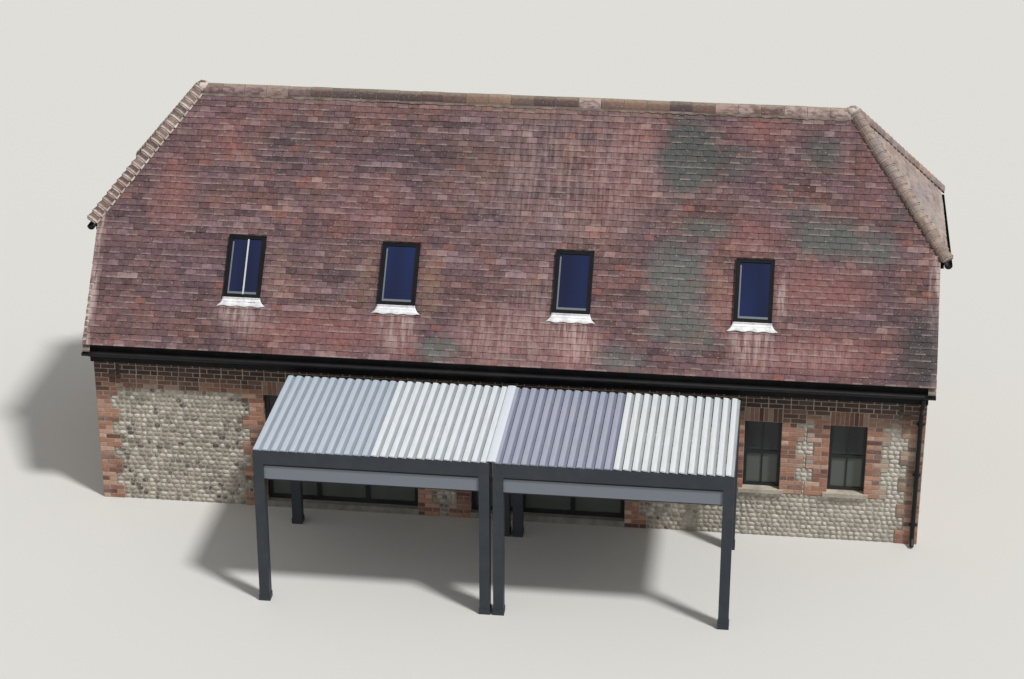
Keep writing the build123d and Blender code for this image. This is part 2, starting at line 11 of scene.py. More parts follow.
import bmesh
import bpy
import numpy as np
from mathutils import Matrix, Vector


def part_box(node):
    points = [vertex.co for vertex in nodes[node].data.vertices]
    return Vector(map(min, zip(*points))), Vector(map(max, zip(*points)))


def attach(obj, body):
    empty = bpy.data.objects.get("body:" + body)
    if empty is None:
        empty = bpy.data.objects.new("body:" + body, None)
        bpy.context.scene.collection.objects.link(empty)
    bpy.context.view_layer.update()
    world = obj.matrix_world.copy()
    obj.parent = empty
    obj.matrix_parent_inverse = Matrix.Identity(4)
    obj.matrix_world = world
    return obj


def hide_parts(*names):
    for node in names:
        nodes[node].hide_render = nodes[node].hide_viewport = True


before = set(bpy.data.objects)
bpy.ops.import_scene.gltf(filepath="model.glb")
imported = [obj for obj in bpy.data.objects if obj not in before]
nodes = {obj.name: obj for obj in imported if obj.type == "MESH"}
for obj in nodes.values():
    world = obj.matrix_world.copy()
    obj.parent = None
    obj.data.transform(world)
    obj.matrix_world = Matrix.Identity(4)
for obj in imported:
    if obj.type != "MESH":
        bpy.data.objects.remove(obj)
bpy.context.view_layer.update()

MM = 0.001

# Roof
PITCH = math.radians(50)
RISE, RUN, GRADIENT = math.sin(PITCH), math.cos(PITCH), math.tan(PITCH)
LAP_DEPTH = 40 * MM
COVERING_DEPTH = 65 * MM
TILE_GAUGE = 100 * MM
TILE_LAP = 32 * MM
TILE_WIDTH = 165 * MM
TILE_GAP = 3 * MM
TILE_THICKNESS = 12 * MM
TILE_CAMBER = 3 * MM
TILE_LIFT = 3 * MM
SMALLEST_TILE = 400 * MM * MM
UNDER_COURSE = 0.7
TILES_ALIKE = (2, 7)
VERGE_STRIP = 110 * MM
HIP_EAVE_STRIP = 90 * MM
BATTEN_FOOT = 70 * MM
RIDGE_COVER = 105 * MM
RIDGE_TILE_LENGTH = 352 * MM
RIDGE_RADIUS = 125 * MM
CAP_WALL = 14 * MM
BONNET_TAIL_RADIUS = 118 * MM
BONNET_HEAD_RADIUS = 88 * MM
BONNET_SEAT_RADIUS = 105 * MM
BONNET_LAP = 25 * MM
BONNET_STEPS = 8
ROOFLIGHT_FOOT = 865 * MM
ROOFLIGHT_LENGTH = 980 * MM
ROOFLIGHT_GAP = 22 * MM
APRON_HEIGHT = 135 * MM
APRON_HALF_WIDTH = 295 * MM
APRON_SPLAY = 90 * MM
LEAD_THICKNESS = 5 * MM

# Walls
BRICK_STAND = 15 * MM
BRICK_FACE = 4 * MM
BRICK_BED = 18 * MM
STRETCHER = 215 * MM
HEADER = 102 * MM
BRICK_HEIGHT = 65 * MM
JOINT = 10 * MM
COURSE = 75 * MM
ARRIS = 4 * MM
BLOCK_HEIGHT = 225 * MM
SHORT_BLOCK = 225 * MM
LONG_BLOCK = 340 * MM
REVEAL_DEPTH = 108 * MM
SILL_HEIGHT = 60 * MM
BAND_COURSES = 9
ARCH_COURSES = 3
FLINT_STAND = 13 * MM
FLINT_JOINT = 11 * MM
FLINT_WIDTHS = (62 * MM, 135 * MM)
SMALLEST_FLINT = 30 * MM
SMALLEST_STRETCH = 20 * MM
BLOCKED_SHARE = 0.3
# Painted shade under the long eaves: it starts so far below the wall top, grows over so much height, and
# has a weight on the front and the back
EAVE_SHADE_DEPTH = 800 * MM
EAVE_SHADE_FADE = 380 * MM
FRONT_EAVE_SHADE, BACK_EAVE_SHADE = 0.9, 0.55

# Fittings
BAR_WIDTH = 22 * MM
GLASS_DEPTH = 118 * MM
LEAF_DEPTH = 110 * MM
DOOR_POST = 70 * MM
DOOR_LEAVES = 3
HANDLE_FOOT = 1.0
BRACKET_SPACING = 900 * MM
BRACKET_INSET = 120 * MM
COLLAR_HEIGHTS = (0.35, 1.2, 2.05)
COLLAR_SIDES = 20
LOUVRE_CROWN = 76 * MM
POST_COVER_HEIGHT = 90 * MM

# Camera, floor and light
CAMERA_PLACE = (4.13, -35.11, 17.97)
CAMERA_AIM = (0.0, -1.4, 2.55)
FOCAL_LENGTH = 84
FLOOR_REACH = 160.0
FLOOR_DROP = 0.5 * MM
LAMP_STRENGTH = 2.45
LAMP_WIDTH = math.radians(7)
LAMP_DIRECTION = (-0.5, 0.35, -0.95)
SKY_STRENGTH = 0.38

draws = random.Random(1851)


def stray(reach):
    """A random shift of up to so many millimetres either way."""
    return draws.uniform(-reach * MM, reach * MM)


class Face:
    """A flat face of the barn with its own axes: along it, up it, and out of it."""

    def __init__(self, origin, along, up):
        self.origin = Vector(origin)
        self.along = Vector(along).normalized()
        self.up = Vector(up).normalized()
        self.out = self.along.cross(self.up)

    def at(self, u, v, out=0.0):
        """The point so far along the face, up it and out of it."""
        return self.origin + self.along * u + self.up * v + self.out * out


class Heap:
    """Many small closed shapes gathered for one joined piece, each with its own random tones."""

    def __init__(self):
        self.points, self.faces = [], []
        self.tones, self.stains, self.edges = [], [], []

    def add(self, points, faces, stains=None, edges=None, tone=None):
        """One closed shape, with a tone for the whole of it, and a stain and an edge for each point."""
        first = len(self.points)
        own_tone = (draws.random(), draws.random(), draws.random(), 0.0)
        self.points += points
        self.faces += [[first + corner for corner in face] for face in faces]
        self.tones += [tone or own_tone] * len(points)
        self.stains += stains or [(0.0, 0.0, 0.0, 0.0)] * len(points)
        self.edges += edges or [0.0] * len(points)

    def add_rings(self, rings, stains=None, edges=None, tone=None):
        """A closed solid through rings of points that all have as many corners."""
        sides = len(rings[0])
        faces = [list(range(sides)), [(len(rings) - 1) * sides + corner for corner in range(sides)]]
        for low in range(0, (len(rings) - 1) * sides, sides):
            high = low + sides
            for corner in range(sides):
                following = (corner + 1) % sides
                faces.append([low + corner, low + following, high + following, high + corner])
        self.add([point for ring in rings for point in ring], faces, stains, edges, tone)

    def add_block(self, face, left, right, bottom, top, near, far):
        """A square-cornered block in a face's own axes."""
        self.add_rings([[face.at(left, bottom, out), face.at(right, bottom, out),
                         face.at(right, top, out), face.at(left, top, out)] for out in (near, far)])


def paint(material, name):
    """Give a CAD node a material."""
    slots = nodes[name].data.materials
    slots.clear()
    slots.append(material)


def new_object(name, data):
    """Put a mesh, a lamp or a camera into the scene."""
    made = bpy.data.objects.new(name, data)
    bpy.context.scene.collection.objects.link(made)
    return made


def make_piece(name, heap, material, replaced=(), smooth=False):
    """Turn a heap into a closed mesh that rides on the barn."""
    mesh = bpy.data.meshes.new(name)
    mesh.from_pydata(heap.points, [], heap.faces)
    shell = bmesh.new()
    shell.from_mesh(mesh)
    bmesh.ops.recalc_face_normals(shell, faces=shell.faces)
    shell.to_mesh(mesh)
    shell.free()
    for label, kind, field, values in (("tones", "FLOAT_COLOR", "color", heap.tones),
                                       ("stains", "FLOAT_COLOR", "color", heap.stains),
                                       ("edges", "FLOAT", "value", heap.edges)):
        layer = mesh.attributes.new(label, kind, "POINT")
        layer.data.foreach_set(field, np.array(values, dtype=np.float32).ravel())
    mesh.polygons.foreach_set("use_smooth", [smooth] * len(mesh.polygons))
    mesh.materials.append(material)
    piece = new_object(name, mesh)
    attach(piece, "root")
    if replaced:
        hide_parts(*replaced)


def solids(name):
    """The lowest and highest corners of each separate solid in a CAD node, from left to right."""
    shell = bmesh.new()
    shell.from_mesh(nodes[name].data)
    bmesh.ops.remove_doubles(shell, verts=shell.verts, dist=0.01 * MM)
    waiting = set(shell.verts)
    boxes = []
    while waiting:
        reached = [waiting.pop()]
        for corner in reached:
            for edge in corner.link_edges:
                other = edge.other_vert(corner)
                if other in waiting:
                    waiting.remove(other)
                    reached.append(other)
        places = np.array([corner.co for corner in reached])
        boxes.append((Vector(places.min(0)), Vector(places.max(0))))
    shell.free()
    return sorted(boxes, key=lambda box: (round(box[0].x, 3), round(box[0].y, 3), box[0].z))


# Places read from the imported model
tiles_low, tiles_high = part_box("front_roof_tiles")
VERGE = tiles_high.x
EAVE_REACH = -tiles_low.y
EAVE_HEIGHT = tiles_low.z + LAP_DEPTH / RUN
RIDGE_HEIGHT = EAVE_HEIGHT + EAVE_REACH * GRADIENT
RIDGE_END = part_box("ridge_tiles")[1].x
HIP_REACH, HIP_HALF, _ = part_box("right_hip_tiles")[1]
HIP_HEIGHT = RIDGE_HEIGHT - (HIP_REACH - RIDGE_END) * GRADIENT
SLOPE_LENGTH = EAVE_REACH / RUN
HIP_LENGTH = (HIP_REACH - RIDGE_END) / RUN
FRONT = -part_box("front_wall_left")[0].y
HALF_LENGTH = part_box("right_gable_wall")[1].x
BRICK_FRONT = FRONT + BRICK_STAND
BRICK_END = HALF_LENGTH + BRICK_STAND
WALL_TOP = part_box("front_brick_band")[1].z
BAND_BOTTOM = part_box("front_brick_band")[0].z
FLOOR_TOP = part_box("floor_slab")[1].z
ROOFLIGHTS = [(low.x, high.x) for low, high in solids("rooflight_frames")]
ROOFLIGHT_TOP = ROOFLIGHT_FOOT + ROOFLIGHT_LENGTH
BAND_COURSE = (WALL_TOP - BAND_BOTTOM) / BAND_COURSES
ARCH_TOP = BAND_BOTTOM + ARCH_COURSES * BAND_COURSE

UP = Vector((0, 0, 1))
ACROSS = Vector((0, 1, 0))
WALLS = {
    "front": Face((0, -FRONT, 0), (1, 0, 0), UP),
    "back": Face((0, FRONT, 0), (-1, 0, 0), UP),
    "left": Face((-HALF_LENGTH, 0, 0), (0, -1, 0), UP),
    "right": Face((HALF_LENGTH, 0, 0), (0, 1, 0), UP),
}
SLOPES = {
    "front": Face((0, -EAVE_REACH, EAVE_HEIGHT), (1, 0, 0), (0, RUN, RISE)),
    "back": Face((0, EAVE_REACH, EAVE_HEIGHT), (-1, 0, 0), (0, -RUN, RISE)),
    "left": Face((-HIP_REACH, 0, HIP_HEIGHT), (0, -1, 0), (RUN, 0, RISE)),
    "right": Face((HIP_REACH, 0, HIP_HEIGHT), (0, 1, 0), (-RUN, 0, RISE)),
}
LONG_SIDES = ("front", "back")

# Long slopes: cut at the verges, the hips and under the ridge tiles. Half-hips: cut at the hips.
LONG_EDGES = [((0, 1), SLOPE_LENGTH - RIDGE_COVER), ((1, 0), VERGE), ((-1, 0), VERGE),
              ((1, RUN), RIDGE_END + SLOPE_LENGTH * RUN - JOINT),
              ((-1, RUN), RIDGE_END + SLOPE_LENGTH * RUN - JOINT)]
HIP_EDGES = [((1, RUN), HIP_HALF - JOINT), ((-1, RUN), HIP_HALF - JOINT)]


def linear(colour):
    """An sRGB hex colour as linear values."""
    parts = [int(colour[start:start + 2], 16) / 255 for start in (1, 3, 5)]
    curved = [part / 12.92 if part <= 0.04045 else ((part + 0.055) / 1.055) ** 2.4 for part in parts]
    return (*curved, 1.0)


def fill(socket, value):
    """Set an input to a value or colour, or link it to a socket or to a node's first open output."""
    if isinstance(value, bpy.types.Node):
        value = next(output for output in value.outputs if output.enabled)
    if isinstance(value, bpy.types.NodeSocket):
        socket.id_data.links.new(value, socket)
    else:
        socket.default_value = linear(value) if isinstance(value, str) else value


def add_node(tree, kind, *values, stops=(), **named):
    """Add a node. Plain values fill its open inputs in order: vector, scale, detail and roughness for
    noise, and value, from, from, to, to for Map Range. Of the named ones, those in small letters are
    settings and the others are inputs. Every Mix here mixes colours."""
    node = tree.nodes.new("ShaderNode" + kind)
    if kind == "Mix":
        node.data_type = "RGBA"
    for name in filter(str.islower, list(named)):
        setattr(node, name, named.pop(name))
    for socket, value in zip([socket for socket in node.inputs if socket.enabled], values):
        fill(socket, value)
    for name, value in named.items():
        fill(node.inputs[name], value)
    if stops:
        elements = node.color_ramp.elements
        while len(elements) < len(stops):
            elements.new(0.5)
        for element, (position, colour) in zip(elements, stops):
            element.position = position
            element.color = linear(colour)
    return node


def new_material(name, **constants):
    """A material and its node tree, with the constant values on the shader's own sockets."""
    material = bpy.data.materials.new(name)
    material.use_nodes = True
    for key, value in constants.items():
        fill(material.node_tree.nodes["Principled BSDF"].inputs[key.replace("_", " ")], value)
    return material, material.node_tree


def surface(name, **constants):
    """A new material, the place on the barn of what it shows, and the call that adds its nodes."""
    material, tree = new_material(name, **constants)
    return material, add_node(tree, "TexCoord").outputs["Object"], functools.partial(add_node, tree)


def stored(add, layer):
    """The four values that a piece's points keep in one of their layers."""
    node = add("Attribute", attribute_name=layer)
    return (*add("SeparateColor", node).outputs, node.outputs["Alpha"])


def finish(material, colour, height, depth):
    """Give the shader its colour, and the relief of a height that is so many millimetres deep."""
    tree = material.node_tree
    relief = add_node(tree, "Bump", Height=height, Strength=1.0, Distance=depth * MM)
    fill(tree.nodes["Principled BSDF"].inputs["Base Color"], colour)
    fill(tree.nodes["Principled BSDF"].inputs["Normal"], relief)
    return material


def per_metre(millimetres):
    """The scale of a pattern whose cells are so many millimetres wide."""
    return 1000 / millimetres


def clay_tile(name, colours, orange=0.0, worn_from=0.45, worn_colour="#b3a19b",
              runs=(1.0, 0.12, 0.12)):
    """Handmade clay tiles, sanded and fired: each its own red-brown, dusted with lichen."""
    material, place, add = surface(name, Roughness=0.88, Specular_IOR_Level=0.3)
    own_shade, own_hue, own_wear, ochre = stored(add, "tones")
    moss, red, dark, pale = stored(add, "stains")
    edges = add("Attribute", attribute_name="edges").outputs["Fac"]
    stops = [(number / (len(colours) - 1), colour) for number, colour in enumerate(colours)]
    body = add("ValToRGB", own_shade, stops=stops)
    # Newer orange tiles, more of them in the red stretches
    share = add("Math", red, 0.10, orange, operation="MULTIPLY_ADD")
    is_orange = add("Math", own_hue, share, operation="LESS_THAN")
    body = add("Mix", is_orange, body, "#84605a")
    # Warm and mauve stretches half a metre across, from different firings
    firing = add("TexNoise", place, per_metre(550), 3.0, 0.6)
    hue = add("ValToRGB", firing, stops=[(0.34, "#b6b3bd"), (0.5, "#bfb8b9"), (0.66, "#cbbab0")])
    body = add("Mix", 1.0, body, hue, blend_type="MULTIPLY")
    body = add("VectorMath", body, 1.86, operation="SCALE")
    body = add("Mix", red, body, "#8e6260")
    # Fire flash and soot inside each tile, about 60 mm across
    flash = add("TexNoise", place, per_metre(60), 4.0, 0.6)
    body = add("VectorMath", body, add("MapRange", flash, 0.3, 0.75, 0.76, 1.28), operation="SCALE")
    # Bleached stretches where rain and lead run off
    drawn = add("Mapping", place, Scale=runs)
    bleach = add("TexNoise", drawn, per_metre(62), 3.0, 0.6)
    streak = add("MapRange", bleach, 0.42, 0.6, 0.12, 1.0)
    body = add("Mix", add("Math", streak, pale, operation="MULTIPLY"), body, "#bda7a2")
    # Moss and algae: green-grey areas with ragged edges, which dry to a paler grey down the slope
    ragged = add("TexNoise", place, per_metre(260), 6.0, 0.7)
    edge = add("Math", moss, ragged, operation="ADD")
    mossy = add("MapRange", edge, 0.68, 1.12, 0.0, 0.9)
    drier = add("MapRange", add("SeparateXYZ", place).outputs["Z"], 3.9, 5.4, 1.0, 0.0)
    body = add("Mix", mossy, body, add("Mix", drier, "#525653", "#666a66"))
    # Ochre lichen along the top courses, and darker areas and streaks
    body = add("Mix", add("Math", ragged, ochre, operation="MULTIPLY"), body, "#a6886a")
    body = add("Mix", dark, body, "#4a4545")
    # Worn pale tails on some tiles: the last 25 mm of the drawn ones
    tail = add("MapRange", edges, 0.74, 0.96, 0.0, 1.0)
    is_worn = add("MapRange", own_wear, worn_from, 1.0, 0.0, 1.1)
    patchy = add("Math", tail, is_worn, operation="MULTIPLY")
    body = add("Mix", add("Math", patchy, flash, operation="MULTIPLY"), body, worn_colour)
    # Crusts of lichen 10 to 30 mm across
    spots = add("TexNoise", place, per_metre(26), 3.0, 0.55)
    body = add("Mix", add("MapRange", spots, 0.63, 0.69, 0.0, 0.7), body, "#aaa095")
    grit = add("TexNoise", place, per_metre(8), 5.0, 0.65)
    return finish(material, body, grit, 1.2)


def gritty(name, colour, dark_colour, uneven=0.0):
    """Lime mortar or concrete trowelled wet, or dressed sandstone: pale, gritty and stained
    unevenly. How uneven it is says how far single dabs of mortar differ."""
    material, place, add = surface(name, Roughness=0.95, Specular_IOR_Level=0.2)
    cloud = add("TexNoise", place, per_metre(180), 6.0, 0.65)
    stained = add("Math", stored(add, "tones")[0], -uneven, cloud, operation="MULTIPLY_ADD")
    body = add("ValToRGB", stained, stops=[(0.32, dark_colour), (0.62, colour)])
    sand = add("TexNoise", place, per_metre(5), 4.0, 0.7)
    return finish(material, body, sand, 1.5)


def flint():
    """Field flints, some split: white rind on some, dark glassy cores on others."""
    material, place, add = surface("field_flint", Roughness=0.55, Specular_IOR_Level=0.4)
    darkening, wash = stored(add, "stains")[2:]
    body = add("ValToRGB", stored(add, "tones")[0],
               stops=[(0.0, "#54504e"), (0.12, "#7d7671"), (0.3, "#a0978d"), (0.55, "#b7aea1"),
                      (0.8, "#cec6b9"), (1.0, "#e4ded3")])
    mottle = add("TexNoise", place, per_metre(35), 5.0, 0.6)
    body = add("Mix", add("MapRange", mottle, 0.50, 0.62, 0.0, 0.6), body, "#c2b9ab")
    body = add("Mix", wash, body, "#d5cfc5")
    # Painted shade under the eaves, and a darker area at the front's right end
    body = add("Mix", darkening, body, "#4b4541")
    chips = add("TexVoronoi", place, per_metre(22), feature="F1")
    return finish(material, body, chips, 3.0)


def handmade_brick():
    """Handmade clay brick, sand-faced and clamp-fired: orange to plum, weathered at the edges."""
    material, place, add = surface("handmade_brick", Roughness=0.9, Specular_IOR_Level=0.25)
    darkening, wash = stored(add, "stains")[2:]
    body = add("ValToRGB", stored(add, "tones")[0],
               stops=[(0.0, "#6d524b"), (0.2, "#936c5f"), (0.5, "#b4836e"), (0.8, "#c8957d"),
                      (1.0, "#dab9a4")])
    cloud = add("TexNoise", place, per_metre(50), 5.0, 0.65)
    body = add("VectorMath", body, add("MapRange", cloud, 0.3, 0.7, 0.78, 1.2), operation="SCALE")
    # Pale salts in stretches of 400 mm
    bloom = add("TexNoise", place, per_metre(400), 4.0, 0.6)
    body = add("Mix", add("MapRange", bloom, 0.5, 0.8, 0.0, 0.5), body, "#bdb0a2")
    # Old limewash left on the bricks of one corner, and painted shade under the eaves, which also
    # carries a darker area at the front's right end
    share = add("Math", wash, cloud, 0.25, operation="MULTIPLY_ADD")
    body = add("Mix", add("Math", share, wash, operation="MULTIPLY"), body, "#cbc5b8")
    body = add("Mix", darkening, body, "#433a39")
    grit = add("TexNoise", place, per_metre(7), 5.0, 0.7)
    return finish(material, body, grit, 1.5)


def painted(name, colour, roughness, dust_share=0.12, **constants):
    """Paint or powder coat over metal or timber, or bare rolled aluminium: even, with a little
    settled dust."""
    material, place, add = surface(name, Roughness=roughness, **constants)
    cloud = add("TexNoise", place, per_metre(300), 6.0, 0.7)
    dust = add("MapRange", cloud, 0.45, 0.75, 0.0, dust_share)
    peel = add("TexNoise", place, per_metre(6), 2.0)
    return finish(material, add("Mix", dust, colour, "#8d8a84"), peel, 0.15)


def louvre_coat(name, colour, shade_and_dirt, first_edge, pitch):
    """Powder-coated aluminium blades: pale and even on the crowns, with painted shade in the drain
    channel along each blade's lower edge, and patches of a thin film of dust."""
    material, place, add = surface(name, Roughness=0.42)
    across = add("SeparateXYZ", place).outputs["X"]
    offset = add("Math", across, first_edge, operation="SUBTRACT")
    blades = add("Math", offset, pitch, operation="DIVIDE")
    share = add("Math", blades, operation="FRACT")
    # Painted shade in each blade's drain channel, mottled along its length
    low_edge = LOUVRE_CROWN / pitch
    in_channel = add("MapRange", share, low_edge - 0.05, low_edge + 0.05)
    streaks = add("Mapping", place, Scale=(1.0, 0.08, 1.0))
    cloud = add("TexNoise", streaks, per_metre(40), 5.0, 0.7)
    channel_mottle = add("MapRange", cloud, 0.2, 0.8, 0.55, 1.0)
    channel_shade = add("Math", in_channel, channel_mottle, operation="MULTIPLY")
    dust_and_reflection = add("MapRange", cloud, 0.45, 0.8, 0.0, 0.3)
    amount = add("Math", channel_shade, dust_and_reflection, operation="MAXIMUM")
    peel = add("TexNoise", place, per_metre(6), 2.0)
    return finish(material, add("Mix", amount, colour, shade_and_dirt), peel, 0.15)


def sheet_lead():
    """Milled sheet lead, dressed over the tiles by hand: pale oxide with soft dents."""
    material, place, add = surface("milled_lead", Roughness=0.55, Metallic=0.25)
    cloud = add("TexNoise", place, per_metre(90), 5.0, 0.6)
    body = add("ValToRGB", cloud, stops=[(0.3, "#d3d2d5"), (0.6, "#fafafc")])
    edges = add("Attribute", attribute_name="edges").outputs["Fac"]
    body = add("Mix", add("MapRange", edges, 0.5, 1.0, 0.0, 0.42), body, "#a39e9d")
    dents = add("TexNoise", place, per_metre(45), 2.0)
    return finish(material, body, dents, 3.0)


def dark_glass(name, tint, deep_tint, see_through, bending, dust_and_reflection=0.0):
    """Float glass in front of an unlit room: smooth, dark and reflecting. A painted reflection greys
    the panes below the meeting rail of the windows."""
    material, place, add = surface(name, Roughness=0.04, IOR=bending, Transmission_Weight=see_through)
    drawn = add("Mapping", place, Scale=(1.0, 0.15, 0.15))
    depth = add("TexNoise", drawn, per_metre(330), 0.0)
    body = add("ValToRGB", depth, stops=[(0.3, deep_tint), (0.7, tint)])
    # Painted reflection: lighter grey-green panes below the meeting rail
    lower_reflection = add("MapRange", add("SeparateXYZ", place).outputs["Z"], 1.3, 1.46, dust_and_reflection, 0.0)
    sag = add("TexNoise", place, per_metre(700), 1.0)
    return finish(material, add("Mix", lower_reflection, body, "#9aa39a"), sag, 0.6)


def sawn_timber():
    """Sawn softwood darkened by age: long grain and saw marks."""
    material, place, add = surface("sawn_softwood", Roughness=0.8)
    stretched = add("Mapping", place, Scale=(1.0, 0.12, 0.12))
    grain = add("TexNoise", stretched, per_metre(14), 6.0)
    body = add("ValToRGB", grain, stops=[(0.3, "#5c4632"), (0.7, "#8b6d4c")])
    return finish(material, body, grain, 1.0)


tile_clay = clay_tile("sanded_plain_tile", ("#534344", "#655254", "#715b5c", "#7d6566", "#a08a88"),
                      orange=0.012)
# The half-hips' tiles: a lighter copy of the slope tiles, as painted sunlight
sunlit_end_clay = clay_tile("plain_tile_painted_sunlit", ("#90847b", "#a59d94", "#bbb3aa"))
ridge_clay = clay_tile("weathered_ridge_tile", ("#64524f", "#725f5b", "#86746c"), worn_from=-0.8,
                       worn_colour="#b0a48f", runs=(0.5, 1.0, 1.0))
bonnet_clay = clay_tile("bonnet_tile", ("#64504d", "#7a655f", "#97847b"), worn_from=-1.6,
                        worn_colour="#fff6ec")
# The right hip's bonnets: a lighter copy of the bonnet clay, as painted sunlight
sunlit_bonnet_clay = clay_tile("bonnet_tile_painted_sunlit", ("#877a74", "#958983", "#a39891"),
                             worn_from=-0.8, worn_colour="#b7aca1")
bedding = gritty("lime_bedding", "#ece6dc", "#b5aa9c", uneven=0.3)
old_bedding = gritty("weathered_lime_bedding", "#a2968a", "#75695f", uneven=0.15)
hip_bedding = gritty("smoothed_lime_bedding", "#b9ab9c", "#93867a", uneven=0.1)
ridge_bedding = gritty("sooty_lime_bedding", "#8f8379", "#5f554f")
apex_bedding = gritty("patched_lime_bedding", "#d9d0c2", "#94897b")
# Darker mortar along the feet of the right row's bonnets: painted shade
painted_shade_bedding = gritty("lime_bedding_painted_shade", "#6b5f52", "#473d35", uneven=0.2)
wall_mortar = gritty("lime_wall_mortar", "#cdc5b7", "#a69e90")
joint_mortar = gritty("brick_joint_mortar", "#b8ad9e", "#91877b")
cast_concrete = gritty("trowelled_concrete", "#a7a49c", "#8b887f")
dressed_stone = gritty("dressed_sandstone", "#cbc3b3", "#a39a89")
flint_stone = flint()
brick_clay = handmade_brick()
black_paint = painted("black_gloss_paint", "#0b0b0f", 0.5, dust_share=0.05, Specular_IOR_Level=0.2)
black_metal = painted("black_cast_metal", "#121217", 0.42, dust_share=0.05, Specular_IOR_Level=0.35)
frame_paint = painted("anthracite_frame_paint", "#202126", 0.4, dust_share=0.06)
rooflight_coat = painted("black_powder_coat", "#0d0e13", 0.5, dust_share=0.03, Specular_IOR_Level=0.15)
rail_metal = painted("mill_finish_aluminium", "#6d757e", 0.45, dust_share=0.2)
canopy_coat = painted("anthracite_powder_coat", "#353b43", 0.5, dust_share=0.08)
blind_coat = painted("grey_powder_coat", "#858c97", 0.5)
joint_coat = painted("pale_powder_coat", "#d4d8dc", 0.45)
cover_coat = painted("white_powder_coat", "#e3e9f0", 0.45, dust_share=0.05)
lead = sheet_lead()
# The windows' lower panes take a painted reflection
window_glass = dark_glass("window_glass", "#474d50", "#23252e", 0.35, 1.5, dust_and_reflection=0.5)
# The rooflights' navy tint is a painted reflection of a blue sky
sky_painted_roof_glass = dark_glass("rooflight_glass", "#112553", "#0b153a", 0.0, 1.38)
softwood = sawn_timber()

FINISHES = (
    (wall_mortar, "front_wall_left front_wall_middle front_wall_right back_wall left_gable_wall "
                  "right_gable_wall"),
    (joint_mortar, "front_brick_band back_brick_band front_brick_dressings back_brick_dressings "
                   "left_gable_dressings right_gable_dressings"),
    (cast_concrete, "floor_slab door_thresholds"),
    (dressed_stone, "window_sills"),
    (old_bedding, "verge_undercloaks"),
    (softwood, "wall_plates tie_beams ridge_board front_rafters back_rafters hip_rafters"),
    (frame_paint, "front_window_frames back_window_frames gable_window_frames door_frames"),
    (window_glass, "front_window_glass back_window_glass gable_window_glass door_glass"),
    (rooflight_coat, "rooflight_frames"),
    (sky_painted_roof_glass, "rooflight_glass"),
    (black_paint, "front_eave_boards back_eave_boards hip_eave_boards"),
    (black_metal, "front_gutter back_gutter hip_gutters downpipes"),
    (canopy_coat, "left_canopy_posts right_canopy_posts left_canopy_frame right_canopy_frame"),
    (blind_coat, "left_canopy_blind_box right_canopy_blind_box"),
    (joint_coat, "canopy_joint_strip"),
)

# Crown colours of each group of blades, from left to right, and the colour of the painted shade
# and dust in the channels. The crowns differ as painted light: lit and shaded copies of one coat
LOUVRE_COLOURS = (("#c3ced9", "#8c949f"), ("#e7edf1", "#959b9f"), ("#adb2c2", "#72778c"),
                  ("#e7ecee", "#959b9e"))

# Areas of a slope: middle across and up the slope, half width, half height, weight
MOSS_PATCHES = [(2.65, 3.45, 0.42, 0.55, 0.8), (3.3, 3.4, 0.35, 0.3, 0.5), (4.65, 3.6, 0.3, 0.3, 0.6),
                (2.55, 1.5, 0.42, 0.6, 0.62), (2.6, 0.8, 0.5, 0.4, 0.5), (2.95, 2.3, 0.45, 0.2, 0.55),
                (4.85, 2.25, 0.55, 0.3, 0.68), (5.5, 2.1, 0.4, 0.26, 0.55), (4.4, 2.6, 0.3, 0.2, 0.45),
                (2.75, 0.6, 0.5, 0.25, 0.5), (-1.0, 0.22, 0.32, 0.2, 0.6), (1.85, 0.2, 0.4, 0.18, 0.5),
                (-3.4, 3.6, 0.3, 0.2, 0.3), (5.85, 2.8, 0.2, 0.3, 0.3), (-2.5, 1.2, 0.4, 0.3, 0.2)]
RED_PATCHES = [(4.7, 1.4, 0.6, 0.32, 0.8), (4.7, 0.4, 0.8, 0.28, 0.8), (-5.35, 2.5, 0.25, 0.6, 0.6),
               (-2.8, 0.4, 1.0, 0.25, 0.7), (0.1, 0.45, 0.8, 0.4, 0.55), (1.6, 3.2, 0.4, 0.7, 0.45),
               (3.7, 2.2, 0.45, 0.25, 0.6), (3.7, 3.95, 0.4, 0.25, 0.5), (1.1, 0.35, 0.3, 0.3, 0.9),
               (3.3, 1.1, 0.2, 0.4, 0.6), (-1.6, 0.4, 0.25, 0.3, 0.6), (3.75, 0.4, 0.25, 0.3, 0.5),
               (-4.6, 3.5, 0.4, 0.4, 0.35), (5.4, 3.2, 0.3, 0.4, 0.35), (-2.2, 2.4, 0.6, 0.4, 0.3)]
DARK_PATCHES = [(6.28, 0.5, 0.3, 0.62, 0.95), (-1.2, 3.35, 0.9, 0.45, 0.28), (1.35, 3.7, 0.05, 0.3, 0.5),
                (5.15, 3.5, 0.05, 0.3, 0.5), (5.35, 3.3, 0.04, 0.3, 0.45), (-3.5, 3.5, 0.5, 0.4, 0.2)]
PALE_PATCHES = [(1.1, 0.4, 0.28, 0.28, 0.75), (-1.62, 0.45, 0.24, 0.26, 0.6), (3.75, 0.42, 0.3, 0.28, 0.6),
                (-4.0, 0.5, 0.26, 0.24, 0.45), (0.8, 3.0, 1.3, 0.9, 0.3), (0.1, 0.5, 0.7, 0.4, 0.4),
                (1.7, 3.3, 0.4, 0.6, 0.3), (4.7, 0.4, 0.5, 0.2, 0.3), (0.55, 1.1, 0.4, 0.25, 0.3),
                (0.0, 4.25, 5.0, 0.12, 0.4), (4.13, 1.25, 0.05, 0.28, 1.0), (3.75, 1.95, 0.2, 0.04, 0.6)]
PALE_PATCHES += [((left + right) / 2, ROOFLIGHT_FOOT - 250 * MM, 0.3, 0.12, 0.85)
                 for left, right in ROOFLIGHTS]
